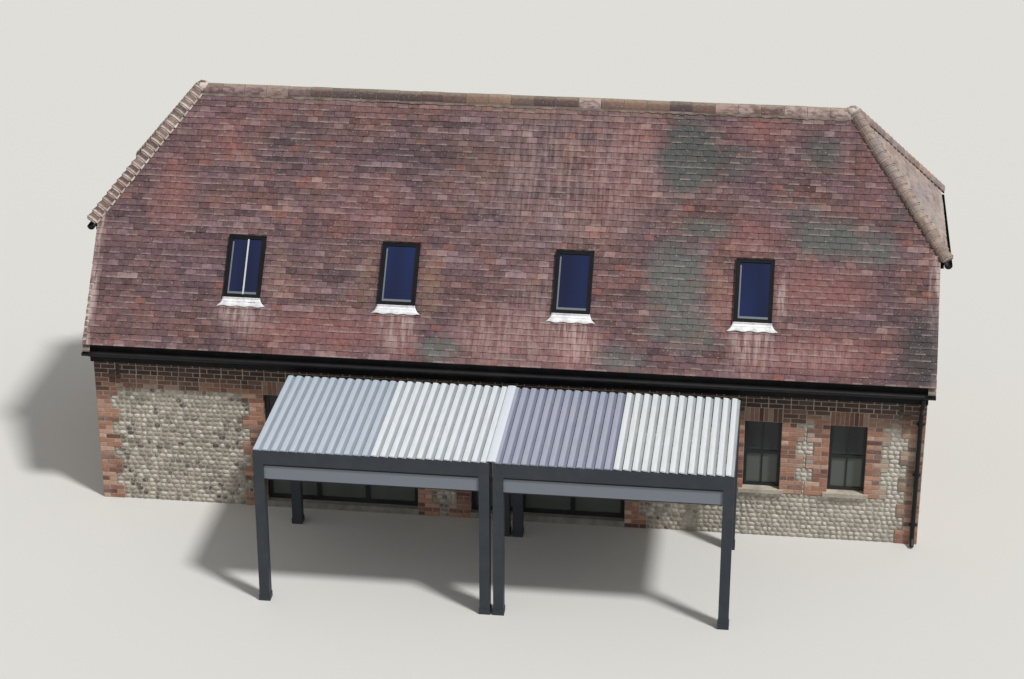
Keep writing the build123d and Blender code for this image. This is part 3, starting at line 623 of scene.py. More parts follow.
OCHRE_PATCHES = [(-0.45, 4.25, 0.5, 0.14, 1.0), (0.2, 4.1, 0.5, 0.2, 0.4), (1.9, 4.2, 0.4, 0.12, 0.7),
                 (-3.6, 4.2, 0.9, 0.1, 0.4), (3.9, 4.2, 0.5, 0.1, 0.4), (-3.55, 1.3, 0.1, 0.4, 0.45),
                 (-2.17, 1.2, 0.1, 0.4, 0.5), (-1.17, 1.1, 0.12, 0.45, 0.55), (3.2, 1.2, 0.12, 0.4, 0.4)]
# How far the same areas are moved along the back slope
BACK_SHIFT = 1.7
# Stretches of the ridge, written the same way: only the middle, half length and weight count
RIDGE_DARK = [(-2.3, 0, 0.9, 1, 0.6), (2.45, 0, 0.25, 1, 0.65), (0.3, 0, 0.3, 1, 0.45)]
RIDGE_PALE = [(-4.3, 0, 0.7, 1, 0.5), (3.4, 0, 0.35, 1, 0.75), (4.6, 0, 0.6, 1, 0.9), (1.0, 0, 0.1, 1, 0.9)]
RIDGE_OCHRE = [(-0.45, 0, 0.35, 1, 0.85), (1.8, 0, 0.35, 1, 0.6), (3.0, 0, 0.2, 1, 0.5)]
# Areas of the front wall: old limewash, paler flints, and a darker area
WASH_PATCHES = [(5.93, 1.2, 0.2, 1.0, 1.0), (4.62, 1.5, 0.11, 0.5, 0.95), (6.4, 1.1, 0.2, 1.0, 0.35)]
PALE_FLINT_PATCHES = [(5.0, 0.5, 1.6, 1.1, 0.5)]
DARKER_WALL_PATCHES = [(6.35, 1.3, 0.18, 1.0, 0.35)]


def clip(outline, normal, reach):
    """The part of a convex outline where a point's reach along the normal stays under a limit."""
    kept = []
    for start, end in zip(outline, outline[1:] + outline[:1]):
        start_over = start[0] * normal[0] + start[1] * normal[1] - reach
        end_over = end[0] * normal[0] + end[1] * normal[1] - reach
        if start_over <= 0:
            kept.append(start)
        if start_over * end_over < 0:
            share = start_over / (start_over - end_over)
            kept.append((start[0] + (end[0] - start[0]) * share, start[1] + (end[1] - start[1]) * share))
    return kept


def clip_all(outline, edges):
    """The part of an outline inside all of the edges, or nothing."""
    for normal, reach in edges:
        if len(outline) < 3:
            return []
        outline = clip(outline, normal, reach)
    return outline if len(outline) >= 3 else []


def clear_of(outline, holes):
    """What is left of an outline beside, under and over rectangular holes."""
    pieces = [outline] if outline else []
    for left, right, bottom, top in holes:
        middle = [((1, 0), right), ((-1, 0), -left)]
        left_over = []
        for piece in pieces:
            us, vs = zip(*piece)
            if max(us) > left and min(us) < right and max(vs) > bottom and min(vs) < top:
                left_over += [clip_all(piece, [((1, 0), left)]), clip_all(piece, [((-1, 0), -right)]),
                              clip_all(piece, middle + [((0, 1), bottom)]),
                              clip_all(piece, middle + [((0, -1), -top)])]
            else:
                left_over.append(piece)
        pieces = [piece for piece in left_over if piece]
    return pieces


def area(outline):
    """The area of a flat outline."""
    return 0.5 * abs(sum(a[0] * b[1] - b[0] * a[1] for a, b in zip(outline, outline[1:] + outline[:1])))


def sway(u, v):
    """How far an old roof's slope dips and swells, in metres."""
    return 5 * MM * math.sin(1.3 * u + 0.7) * math.sin(1.7 * v + 0.4) + 2 * MM * math.sin(3.1 * u + v)


def patch_weight(patches, u, v):
    """How strongly a place lies inside any of the soft-edged patches."""
    weight = 0.0
    for middle, height, half_width, half_height, strength in patches:
        reach = math.hypot((u - middle) / half_width, (v - height) / half_height)
        weight = max(weight, strength * min(1.0, max(0.0, 1.6 - reach)))
    return weight


def slope_stain(side, u, v):
    """The moss, red, dark and pale weights at a place on a slope."""
    if side not in LONG_SIDES:
        return (0.1, 0.0, 0.0, 0.8 if v < HIP_EAVE_STRIP else 0.1)
    at_verge = 0.9 if abs(u) > VERGE - VERGE_STRIP else 0.0
    if side == "back":
        u -= BACK_SHIFT
    moss, red, dark, pale = (patch_weight(patches, u, v)
                             for patches in (MOSS_PATCHES, RED_PATCHES, DARK_PATCHES, PALE_PATCHES))
    return (moss, red, dark, max(pale, at_verge))


def lay_tile(heap, side, outline, tail, tile):
    """One cambered tile over a clipped outline, split along its middle so that it can bow."""
    left, width, lift, twist, run_tone = tile
    middle = left + width / 2
    face = SLOPES[side]
    rim = []
    for point in clip(outline, (1, 0), middle) + clip(outline, (-1, 0), -middle):
        rounded = (round(point[0], 6), round(point[1], 6))
        if rounded not in rim:
            rim.append(rounded)
    count = len(rim)
    centre = (sum(point[0] for point in rim) / count, sum(point[1] for point in rim) / count)
    rim.sort(key=lambda point: math.atan2(point[1] - centre[1], point[0] - centre[0]))

    def height(point):
        """How far the tile's upper face stands out of the slope there."""
        across = (point[0] - middle) / (width / 2)
        bow = TILE_CAMBER * (1 - across * across)
        fall = TILE_THICKNESS * (point[1] - tail) / TILE_GAUGE
        return sway(*point) + lift + twist * across + bow - TILE_CAMBER - fall

    points = [face.at(*point, height(point)) for point in rim]
    points += [face.at(*point, height(point) - TILE_THICKNESS) for point in rim]
    stains = [slope_stain(side, *point) for point in rim] * 2
    edges = [max(0.0, 1.0 - (point[1] - tail) / (TILE_GAUGE + TILE_LAP)) for point in rim] * 2
    ochre = patch_weight(OCHRE_PATCHES, middle, tail) if side in LONG_SIDES else 0.0
    tone = (0.5 * run_tone + 0.5 * draws.random(), draws.random(), draws.random(), ochre)
    on_middle = [number for number, point in enumerate(rim) if abs(point[0] - middle) < 0.01 * MM]
    loops = [list(range(count))]
    if len(on_middle) == 2:
        low, high = on_middle
        split = [list(range(low, high + 1)), list(range(high, count)) + list(range(low + 1))]
        if all(len(loop) >= 3 for loop in split):
            loops = split
    faces = loops + [[count + corner for corner in reversed(loop)] for loop in loops]
    for corner in range(count):
        following = (corner + 1) % count
        faces.append([corner, following, count + following, count + corner])
    heap.add(points, faces, stains, edges, tone)


def lay_slope(heap, side, length, reach, edges, holes):
    """Courses of plain tiles from the eave up, each broken over the joints of the one below, on a
    short under-course at the eave."""
    courses = round(length / TILE_GAUGE)
    gauge = length / courses
    for course in range(-1, courses):
        under = course < 0
        tail = max(course, 0) * gauge
        head = tail + (UNDER_COURSE * gauge if under else gauge + TILE_LAP)
        drop = TILE_THICKNESS + 1 * MM if under else 0.0
        shift = (course % 2) * TILE_WIDTH / 2
        course_jog = stray(4)
        run_left = 0
        for number in range(-1, math.ceil(2 * reach / TILE_WIDTH) + 2):
            if run_left == 0:
                run_tone = draws.random()
                run_left = draws.randint(*TILES_ALIKE)
            run_left -= 1
            left = -reach + number * TILE_WIDTH - shift + course_jog + TILE_GAP / 2
            right = left + TILE_WIDTH - TILE_GAP + stray(1.5)
            foot = tail + (stray(3) if course > 0 else 0.0)
            lift = draws.uniform(0, TILE_LIFT) - drop
            twist = stray(1.5)
            outline = clip_all([(left, foot), (right, foot), (right, head), (left, head)], edges)
            for piece in clear_of(outline, holes):
                if area(piece) > SMALLEST_TILE:
                    lay_tile(heap, side, piece, tail, (left, right - left, lift, twist, run_tone))


def roof_tiles():
    """All four slopes, each over battens and felt: closed slabs that keep light out."""
    rooflight_holes = [(left - ROOFLIGHT_GAP / 2, right + ROOFLIGHT_GAP / 2,
                        ROOFLIGHT_FOOT - 4 * MM, ROOFLIGHT_TOP + ROOFLIGHT_GAP)
                       for left, right in ROOFLIGHTS]
    base_verge = VERGE - 20 * MM
    for side, face in SLOPES.items():
        holes = rooflight_holes if side == "front" else []
        if side in LONG_SIDES:
            length, reach, edges, clay = SLOPE_LENGTH, VERGE, LONG_EDGES, tile_clay
            base_edges = edges + [((1, 0), base_verge), ((-1, 0), base_verge)]
            label, node = "_tile", "_roof_tiles"
        else:
            length, reach, edges, clay = HIP_LENGTH, HIP_HALF, HIP_EDGES, sunlit_end_clay
            base_edges = edges
            label, node = "_half_hip", "_hip_tiles"
        heap = Heap()
        lay_slope(heap, side, length, reach, edges, holes)
        make_piece(side + label + "_courses", heap, clay, [side + node])
        base = Heap()
        sheet = [(-reach, BATTEN_FOOT), (reach, BATTEN_FOOT), (reach, length), (-reach, length)]
        for piece in clear_of(clip_all(sheet, base_edges), holes):
            base.add_rings([[face.at(*point, -depth) for point in piece]
                            for depth in (COVERING_DEPTH - 1 * MM, LAP_DEPTH)])
        make_piece(side + label + "_battens", base, softwood)


def half_ring(centre, side, up, outer, inner, steps=10, start=0.0):
    """The section of a cap tile or a bracket: an outer arc from foot to foot, and back along an
    inner one."""
    turns = [start + math.pi * step / steps for step in range(steps + 1)]
    return [centre + side * (radius * math.cos(turn)) + up * (radius * math.sin(turn))
            for radius, order in ((outer, turns), (inner, turns[::-1])) for turn in order]


def cap_crowns(steps):
    """How near each point of a cap tile's section is to its crown, from 0 at the feet to 1."""
    return [math.sin(math.pi * step / steps) for step in range(steps + 1)] + [0.0] * (steps + 1)


def ridge():
    """Half-round ridge tiles end to end, with mortar in their joints and along both feet."""
    count = round(2 * RIDGE_END / RIDGE_TILE_LENGTH)
    length = 2 * RIDGE_END / count
    foot_height = RIDGE_HEIGHT - RIDGE_RADIUS * GRADIENT
    # Places along a tile, as shares of its length, and how much thicker it is there
    sections = ((0.012, -2 * MM), (0.03, 0.0), (0.5, 0.5 * MM), (0.97, 0.0), (0.988, -2 * MM))
    crowns = cap_crowns(10) * len(sections)
    tiles = Heap()
    for number in range(count):
        start = -RIDGE_END + number * length
        lift = draws.uniform(-2 * MM, 4 * MM)
        tip = stray(2)
        sideways = stray(3)
        rings = [half_ring(Vector((start + share * length, sideways,
                                   foot_height + lift + tip * (share - 0.5))),
                           ACROSS, UP, RIDGE_RADIUS + 3 * MM + grow, RIDGE_RADIUS - CAP_WALL)
                 for share, grow in sections]
        dark, pale, ochre = (patch_weight(stretches, start + length / 2, 0)
                             for stretches in (RIDGE_DARK, RIDGE_PALE, RIDGE_OCHRE))
        tone = (draws.random(), draws.random(), draws.random(), ochre)
        tiles.add_rings(rings, [(0.0, 0.0, dark, pale)] * len(crowns), crowns, tone)
    make_piece("ridge_tile_row", tiles, ridge_clay, ["ridge_tiles"])

    joints = Heap()
    steps = 160
    places = [-RIDGE_END + 2 * RIDGE_END * step / steps for step in range(steps + 1)]
    joints.add_rings([half_ring(Vector((along, 0, foot_height)), ACROSS, UP,
                                RIDGE_RADIUS - 4 * MM + stray(1.5),
                                RIDGE_RADIUS - CAP_WALL - 6 * MM) for along in places])
    for facing in (-1, 1):
        rings = []
        for along in places:
            spread = draws.uniform(14 * MM, 30 * MM)
            rings.append([Vector((along, facing * reach, foot_height + rise)) for reach, rise in (
                (RIDGE_RADIUS - 4 * MM, 16 * MM),
                (RIDGE_RADIUS + spread, 5 * MM - spread * GRADIENT),
                (RIDGE_RADIUS - 10 * MM, -22 * MM))])
        joints.add_rings(rings)
    make_piece("ridge_mortar", joints, ridge_bedding)


def lay_bonnet(heaps, hip, tail, worn):
    """One bonnet tile, the mortar under its tail, and a strip of mortar along each of its feet."""
    tiles, mortar, fillets = heaps
    top, down, side, up, seat, pitch, ways = hip
    sideways = side * stray(3)
    lift = draws.uniform(4 * MM, 9 * MM)
    # Head, tail and blunt end: place down the hip, radius and lift
    tiles.add_rings([half_ring(top + down * place + seat + up * raised + sideways, side, up, radius,
                               radius - CAP_WALL, BONNET_STEPS)
                     for place, radius, raised in (
                         (tail - pitch - BONNET_LAP, BONNET_HEAD_RADIUS, -4 * MM),
                         (tail - 6 * MM, BONNET_TAIL_RADIUS, lift),
                         (tail, BONNET_TAIL_RADIUS - 2 * MM, lift))], edges=worn)
    # Mortar under the tail: place, and how far inside the tile it stays
    rings = []
    for place, inset in ((tail - 45 * MM, CAP_WALL + 6 * MM), (tail + 4 * MM, CAP_WALL - 1 * MM),
                         (tail + 24 * MM, 19 * MM)):
        centre = top + down * place + seat + up * (lift - 1 * MM) + sideways
        ring = half_ring(centre, side, up, BONNET_TAIL_RADIUS - inset, 0.0, BONNET_STEPS)
        rings.append(ring[:BONNET_STEPS + 1])
    mortar.add_rings(rings)
    # Strips along the feet: place, and the share of their full thickness
    for facing in (-1, 1):
        outward = side * facing
        away = max(ways, key=lambda way: way.dot(outward) - way.dot(up))
        rings = []
        for place, size in ((tail - 92 * MM, 0.45), (tail - 30 * MM, 1.0), (tail + 3 * MM, 0.8)):
            foot = (top + down * place + seat + up * (lift - 5 * MM)
                    + outward * (BONNET_TAIL_RADIUS - 4 * MM))
            rings.append([foot + up * (10 * MM * size), foot + away * (20 * MM * size),
                          foot - up * (22 * MM), foot - outward * (20 * MM)])
        fillets.add_rings(rings)


def bonnets():
    """Bonnet tiles down each short hip, one to a course, with mortar under every tail."""
    courses = round(HIP_LENGTH / TILE_GAUGE)
    # Where a tile is worn, point by point through its three sections: at its tail or on its crown
    section = 2 * (BONNET_STEPS + 1)
    # The right row is lighter as painted sunlight, with painted shade along the feet of its bonnets
    rows = ((-1, "left", bonnet_clay, bedding, bedding, [0.0] * section + [1.0] * (2 * section)),
            (1, "right", sunlit_bonnet_clay, hip_bedding, painted_shade_bedding, cap_crowns(BONNET_STEPS) * 3))
    for x_side, name, clay, joint, fillet, worn in rows:
        tiles, mortar, fillets = heaps = Heap(), Heap(), Heap()
        for y_side in (-1, 1):
            end_out = Vector((x_side * RISE, 0, RUN))
            side_out = Vector((0, y_side * RISE, RUN))
            up = (end_out + side_out).normalized()
            top = Vector((x_side * RIDGE_END, 0, RIDGE_HEIGHT))
            fall = Vector((x_side * HIP_REACH, y_side * HIP_HALF, HIP_HEIGHT)) - top
            down = fall.normalized()
            seat = up * (-BONNET_SEAT_RADIUS * math.tan(end_out.angle(side_out) / 2))
            pitch = fall.length / courses
            # Square to the hip in either slope, both ways round
            ways = [way for out in (end_out, side_out) for way in (out.cross(down), down.cross(out))]
            hip = (top, down, up.cross(down), up, seat, pitch, ways)
            for course in range(courses):
                lay_bonnet(heaps, hip, (course + 1) * pitch + stray(3), worn)
        make_piece(name + "_bonnet_fillets", fillets, fillet)
        make_piece(name + "_bonnet_row", tiles, clay, [name + "_bonnet_tiles"])
        make_piece(name + "_bonnet_mortar", mortar, joint)


def apex_mortar():
    """A trowelled mound of mortar where each end of the ridge meets its two hips."""
    heap = Heap()
    sides = 14
    length, width, height = 112 * MM, 122 * MM, 117 * MM
    for x_side in (-1, 1):
        centre = Vector((x_side * (RIDGE_END - 10 * MM), 0, RIDGE_HEIGHT - 110 * MM))
        rings = []
        for share, level in ((0.80, 0.0), (1.0, 0.35), (0.94, 0.7), (0.70, 0.92), (0.3, 1.0)):
            ring = []
            for side in range(sides):
                turn = 2 * math.pi * side / sides
                reach = share * draws.uniform(0.93, 1.05)
                ring.append(centre + Vector((length * reach * math.cos(turn),
                                             width * reach * math.sin(turn), height * level)))
            rings.append(ring)
        heap.add_rings(rings)
    make_piece("apex_mortar", heap, apex_bedding, smooth=True)


def verge_mortar():
    """The pointed mortar between the tile edges and the strips under them, at all four verges."""
    heap = Heap()
    top = (HIP_HEIGHT + (HIP_REACH - VERGE) * GRADIENT - EAVE_HEIGHT) / RISE
    for side in LONG_SIDES:
        for end in (-1, 1):
            near, far = sorted((end * (VERGE - 60 * MM), end * (VERGE - 7 * MM)))
            heap.add_block(SLOPES[side], near, far, 10 * MM, top, 2 * MM - COVERING_DEPTH, -14 * MM)
    make_piece("verge_pointing", heap, bedding)


def wall_stain(face, u, v, washes):
    """The painted shade under the long eaves, and the limewash and a darker area at the front's right end.
    """
    darkening = min(1.0, max(0.0, (v - WALL_TOP + EAVE_SHADE_DEPTH) / EAVE_SHADE_FADE))
    if face is WALLS["front"]:
        shade_and_dirt = patch_weight(DARKER_WALL_PATCHES, u, v)
        return (0.0, 0.0, max(FRONT_EAVE_SHADE * darkening, shade_and_dirt), patch_weight(washes, u, v))
    if face is WALLS["back"]:
        return (0.0, 0.0, BACK_EAVE_SHADE * darkening, 0.0)
    return (0.0, 0.0, 0.0, 0.0)


def lay_brick(heap, face, left, right, bottom, top, base=BRICK_STAND):
    """One brick with worn edges, standing a little in or out of line."""
    stand = base + BRICK_FACE + stray(1.5)
    tip = stray(1)
    rings = [[face.at(left + inset, bottom + inset + tip, out),
              face.at(right - inset, bottom + inset - tip, out),
              face.at(right - inset, top - inset - tip, out),
              face.at(left + inset, top - inset + tip, out)]
             for inset, out in ((0.0, base - BRICK_BED), (0.0, stand - ARRIS), (ARRIS, stand))]
    stain = wall_stain(face, (left + right) / 2, (bottom + top) / 2, WASH_PATCHES)
    heap.add_rings(rings, [stain] * 12)


def fill_course(heap, face, left, right, bottom, height, lengths):
    """One course of bricks, eased so that it fills its length."""
    ease = (right - left - JOINT * (len(lengths) - 1)) / sum(lengths)
    place = left
    for length in lengths:
        end = place + length * ease
        slack = stray(1)
        lay_brick(heap, face, place + JOINT / 4, end - JOINT / 4 + slack, bottom + JOINT / 2,
                  bottom + height - JOINT / 2)
        place = end + JOINT


def bond(length, header_first):
    """Headers and stretchers by turns that come nearest to a length."""
    lengths = []
    header = header_first
    while True:
        following = HEADER if header else STRETCHER
        whole = sum(lengths) + JOINT * len(lengths)
        if lengths and abs(whole - JOINT - length) <= abs(whole + following - length):
            return lengths
        lengths.append(following)
        header = not header


def toothed_blocks(start, direction, bottom, first_long):
    """Long and short blocks by turns, beside a corner or an opening, up to the brick band."""
    blocks = []
    for row in range(math.ceil((BAND_BOTTOM - bottom) / BLOCK_HEIGHT - 0.001)):
        is_long = (row % 2 == 0) == first_long
        end = start + direction * (LONG_BLOCK if is_long else SHORT_BLOCK)
        low = bottom + row * BLOCK_HEIGHT
        high = min(low + BLOCK_HEIGHT, BAND_BOTTOM)
        blocks.append((min(start, end), max(start, end), low, high, is_long))
    return blocks


def opening_boxes(wall):
    """Left, right, foot and whether it is a door, for each opening in a wall."""
    face = WALLS[wall]
    found = []
    for name in {"front": ("front_window_frames", "door_frames"),
                 "back": ("back_window_frames",)}.get(wall, ("gable_window_frames",)):
        for low, high in solids(name):
            middle = (low + high) / 2 - face.origin
            # The gables share a node, and the far gable's window is out of reach
            if middle.dot(face.out) >= -1.0:
                reach = abs((high - low).dot(face.along)) / 2
                centre = middle.dot(face.along)
                found.append((centre - reach, centre + reach, low.z, name == "door_frames"))
    return sorted(found)


def lay_blocks(heap, face, blocks):
    """The bricks of the long and short blocks, their bond turned round from course to course."""
    for left, right, low, high, is_long in blocks:
        rows = max(1, round((high - low) / COURSE))
        height = (high - low) / rows
        for row in range(rows):
            swapped = (row + (0 if left < 0 else 1)) % 2 == 0
            if is_long:
                lengths = [HEADER, STRETCHER] if swapped else [STRETCHER, HEADER]
            else:
                lengths = [STRETCHER] if swapped else [HEADER, HEADER]
            fill_course(heap, face, left, right, low + row * height, height, lengths)


def lay_band(heap, face, half, openings):
    """The band along the wall's top, whose lowest courses make room for the arches."""
    for row in range(BAND_COURSES):
        start = -half
        stops = [box[:2] for box in openings] if row < ARCH_COURSES else []
        for left, right in stops + [(half, half)]:
            if left - start > 2 * JOINT:
                end = left - (JOINT if left < half else 0)
                fill_course(heap, face, start, end, BAND_BOTTOM + row * BAND_COURSE, BAND_COURSE,
                            bond(end - start, row % 2 == 0))
            start = right + JOINT


def line_opening(heap, face, left, right, bottom):
    """The arch over an opening, on its face and from below, and the reveals on both sides."""
    gap = JOINT / 2
    head = Face(face.at(0, BAND_BOTTOM, BRICK_STAND), face.along, face.out)
    count = round((right - left + JOINT) / (BRICK_HEIGHT + JOINT))
    pitch = (right - left) / count
    for number in range(count):
        near = left + number * pitch + gap
        far = left + number * pitch + pitch - gap
        lay_brick(heap, face, near, far, BAND_BOTTOM + gap, ARCH_TOP - gap)
        lay_brick(heap, head, near, far, gap - REVEAL_DEPTH, -gap, -BRICK_FACE / 2)
    rows = round((BAND_BOTTOM - bottom) / COURSE)
    course = (BAND_BOTTOM - bottom) / rows
    for edge, inward in ((left, -1), (right, 1)):
        side = Face(face.at(edge, 0, BRICK_STAND), face.out * inward, UP)
        near, far = sorted((-inward * gap, -inward * REVEAL_DEPTH))
        for row in range(rows):
            lay_brick(heap, side, near, far, bottom + row * course + gap,
                      bottom + (row + 1) * course - gap, -BRICK_FACE / 2)


def wall_bricks(wall):
    """Corners, jambs, the band along the top, arches over the openings and the reveals. Gives back
    the blocks and the openings, which the flints keep clear of."""
    face = WALLS[wall]
    heap = Heap()
    is_gable = wall not in LONG_SIDES
    half = FRONT if is_gable else BRICK_END
    openings = opening_boxes(wall)
    blocks = toothed_blocks(-half, 1, 0, not is_gable) + toothed_blocks(half, -1, 0, not is_gable)
    for left, right, foot, is_door in openings:
        bottom = 0.0 if is_door else foot - SILL_HEIGHT
        blocks += toothed_blocks(left, -1, bottom, True) + toothed_blocks(right, 1, bottom, True)
    lay_blocks(heap, face, blocks)
    lay_band(heap, face, half, openings)
    for left, right, foot, is_door in openings:
        line_opening(heap, face, left, right, FLOOR_TOP if is_door else foot)
    make_piece(wall + ("_gable" if is_gable else "") + "_bricks", heap, brick_clay)
    return blocks, openings


def lay_flint(heap, face, left, right, bottom, top):
    """One rounded flint pressed into the mortar."""
    sides = 8
    centre_u, centre_v = (left + right) / 2, (bottom + top) / 2
    half_u, half_v = (right - left) / 2, (top - bottom) / 2
    turn_start = draws.uniform(0, 2 * math.pi / sides)
    lean = draws.uniform(-0.15, 0.15)
    crown_u, crown_v = draws.uniform(-0.25, 0.25), draws.uniform(-0.25, 0.25)
    stand = FLINT_STAND * draws.uniform(0.75, 1.15)
    corners = []
    for side in range(sides):
        turn = turn_start + side * 2 * math.pi / sides
        # Part of the way from round to square, so that flints fill their courses
        square = max(abs(math.cos(turn)), abs(math.sin(turn)))
        reach = draws.uniform(0.86, 1.06) * (1.0 + 0.35 * (1 / square - 1)) / 1.04
        corners.append((reach * math.cos(turn), reach * math.sin(turn)))
    rings = []
    for share, out in ((1.0, -6 * MM), (1.0, 2 * MM), (0.84, stand * 0.72), (0.42, stand)):
        ring = []
        for cos_part, sin_part in corners:
            u = cos_part * share + crown_u * (1 - share)
            v = sin_part * share + crown_v * (1 - share) + lean * cos_part * share
            ring.append(face.at(centre_u + u * half_u, centre_v + v * half_v, out))
        rings.append(ring)
    stain = wall_stain(face, centre_u, centre_v, WASH_PATCHES + PALE_FLINT_PATCHES)
    heap.add_rings(rings, [stain] * (len(rings) * sides))


def free_stretches(low, high, start, end, blocked):
    """The stretches of a wall between blocked rectangles at one height."""
    stops = sorted((left, right) for left, right, bottom, top in blocked
                   if min(high, top) - max(low, bottom) > BLOCKED_SHARE * (high - low))
    stretches = []
    for left, right in stops + [(end, end)]:
        if left - start > SMALLEST_STRETCH:
            stretches.append((start, left))
        start = max(start, right)
    return stretches


def flint_course(heap, face, left, right, low, high):
    """Flints side by side along one stretch of a course, eased so that they fill it."""
    lengths = []
    while sum(lengths) < right - left:
        lengths.append(draws.uniform(*FLINT_WIDTHS))
    if len(lengths) > 1 and sum(lengths) - (right - left) > lengths[-1] / 2:
        lengths.pop()
    ease = (right - left) / sum(lengths)
    for length in lengths:
        end = left + length * ease
        wobble = stray(5)
        if end - left > SMALLEST_FLINT:
            lay_flint(heap, face, left + FLINT_JOINT / 2, end - FLINT_JOINT / 2,
                      low + FLINT_JOINT / 3 + wobble / 2, high - FLINT_JOINT / 3 + wobble)
        left = end


def wall_flints(wall, blocks, openings):
    """Courses of flints between the bricks, and up under the roof on the end walls."""
    face = WALLS[wall]
    heap = Heap()
    is_gable = wall not in LONG_SIDES
    half = FRONT if is_gable else HALF_LENGTH
    blocked = [block[:4] for block in blocks]
    for left, right, foot, is_door in openings:
        sill_low = 0.0 if is_door else foot - SILL_HEIGHT
        blocked.append((left, right, sill_low, BAND_BOTTOM))
        if not is_door:
            blocked.append((left - SILL_HEIGHT, right + SILL_HEIGHT, sill_low, foot))
    bands = [(0.0, BAND_BOTTOM)]
    if is_gable:
        bands.append((WALL_TOP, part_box("hip_eave_boards")[0].z + 20 * MM))
    for bottom, top in bands:
        rows = round((top - bottom) / COURSE)
        step = (top - bottom) / rows
        for row in range(rows):
            low = bottom + row * step
            high = low + step
            reach = half
            if bottom >= WALL_TOP:
                roof_drop = (COVERING_DEPTH + 15 * MM) / RUN
                reach = min(half, (RIDGE_HEIGHT - roof_drop - high) / GRADIENT - 5 * MM)
            for left, right in free_stretches(low, high, -reach, reach, blocked):
                flint_course(heap, face, left, right, low, high)
    name = wall + ("_gable" if is_gable else "_wall") + "_flints"
    make_piece(name, heap, flint_stone, smooth=True)


def walls():
    """Bricks and flints on all four walls, over the mortar that the solids show between them."""
    for wall in WALLS:
        wall_flints(wall, *wall_bricks(wall))


def solid_finishes():
    """The materials of the solids that stay in view. Each group of louvre blades has its own, lighter
    or darker as painted light.
    """
    for material, names in FINISHES:
        for name in names.split():
            paint(material, name)
    for number, (colour, shade_and_dirt) in enumerate(LOUVRE_COLOURS, 1):
        name = "canopy_louvres_" + str(number)
        blades = solids(name)
        first_edge = blades[0][0].x
        pitch = (blades[-1][0].x - first_edge) / (len(blades) - 1)
        paint(louvre_coat("louvre_powder_coat_" + str(number), colour, shade_and_dirt, first_edge, pitch), name)


def window_fittings():
    """Glazing bars in the windows, and lever handles on the doors."""
    bars, handles = Heap(), Heap()
    out = BRICK_STAND - GLASS_DEPTH
    for wall, face in WALLS.items():
        for left, right, foot, is_door in opening_boxes(wall):
            if not is_door:
                middle = (left + right) / 2
                bars.add_block(face, middle - BAR_WIDTH / 2, middle + BAR_WIDTH / 2,
                               foot + 50 * MM, BAND_BOTTOM - 50 * MM, out - 30 * MM, out)
    make_piece("glazing_bars", bars, frame_paint)
    out = BRICK_STAND - LEAF_DEPTH
    for left, right, foot, is_door in opening_boxes("front"):
        for number in (1, 2) if is_door else ():
            post = left + number * (right - left - DOOR_POST) / DOOR_LEAVES + DOOR_POST / 2
            # A back plate, a neck and a lever, in millimetres from the post, the foot and the leaf
            for near, far, low, high, inner, outer in ((-16, 16, 0, 160, -2, 6),
                                                       (-9, 9, 80, 100, 6, 42),
                                                       (-9, 105, 80, 100, 42, 54)):
                handles.add_block(WALLS["front"], post + near * MM, post + far * MM,
                                  HANDLE_FOOT + low * MM, HANDLE_FOOT + high * MM,
                                  out + inner * MM, out + outer * MM)
    make_piece("door_handles", handles, joint_coat)


def aprons():
    """Lead aprons dressed down over the tile courses below each rooflight."""
    heap = Heap()
    face = SLOPES["front"]
    columns, rows = 28, 14
    width = columns + 1
    for left, right in ROOFLIGHTS:
        wave = draws.uniform(0, 6)
        sheet = []
        for row in range(rows + 1):
            share = row / rows
            for column in range(width):
                across = 2 * column / columns - 1
                half = APRON_HALF_WIDTH + APRON_SPLAY * share * share
                # The sheet waves, along its foot and out of its plane, more and more towards the foot
                ripple = 9 * MM * math.sin(across * 11 + wave) * share
                v = ROOFLIGHT_FOOT - 6 * MM - (APRON_HEIGHT + ripple) * share
                step = (v / TILE_GAUGE) % 1.0
                lift = (5 * MM + TILE_THICKNESS * (1 - step) * 0.8
                        + 5 * MM * math.sin(across * 9 + wave) * share)
                rise = 30 * MM * max(0.0, 1 - share * 6)
                sheet.append(((left + right) / 2 + across * half, v, lift + rise))
        points = [face.at(u, v, out) for u, v, out in sheet]
        points += [face.at(u, v, out - LEAD_THICKNESS) for u, v, out in sheet]
        under = len(sheet)
        faces = []
        for row in range(rows):
            for corner in range(row * width, row * width + columns):
                quad = [corner, corner + 1, corner + width + 1, corner + width]
                faces.append(quad)
                faces.append([under + number for number in reversed(quad)])
        rim = list(range(width)) + [row * width + columns for row in range(1, rows + 1)]
        rim += [rows * width + column for column in range(columns - 1, -1, -1)]
        rim += [row * width for row in range(rows - 1, 0, -1)]
        faces += [[first, second, under + second, under + first]
                  for first, second in zip(rim, rim[1:] + rim[:1])]
        edges = [row / rows for row in range(rows + 1) for column in range(width)] * 2
        heap.add(points, faces, edges=edges)
    make_piece("lead_aprons", heap, lead, ["rooflight_aprons"], smooth=True)


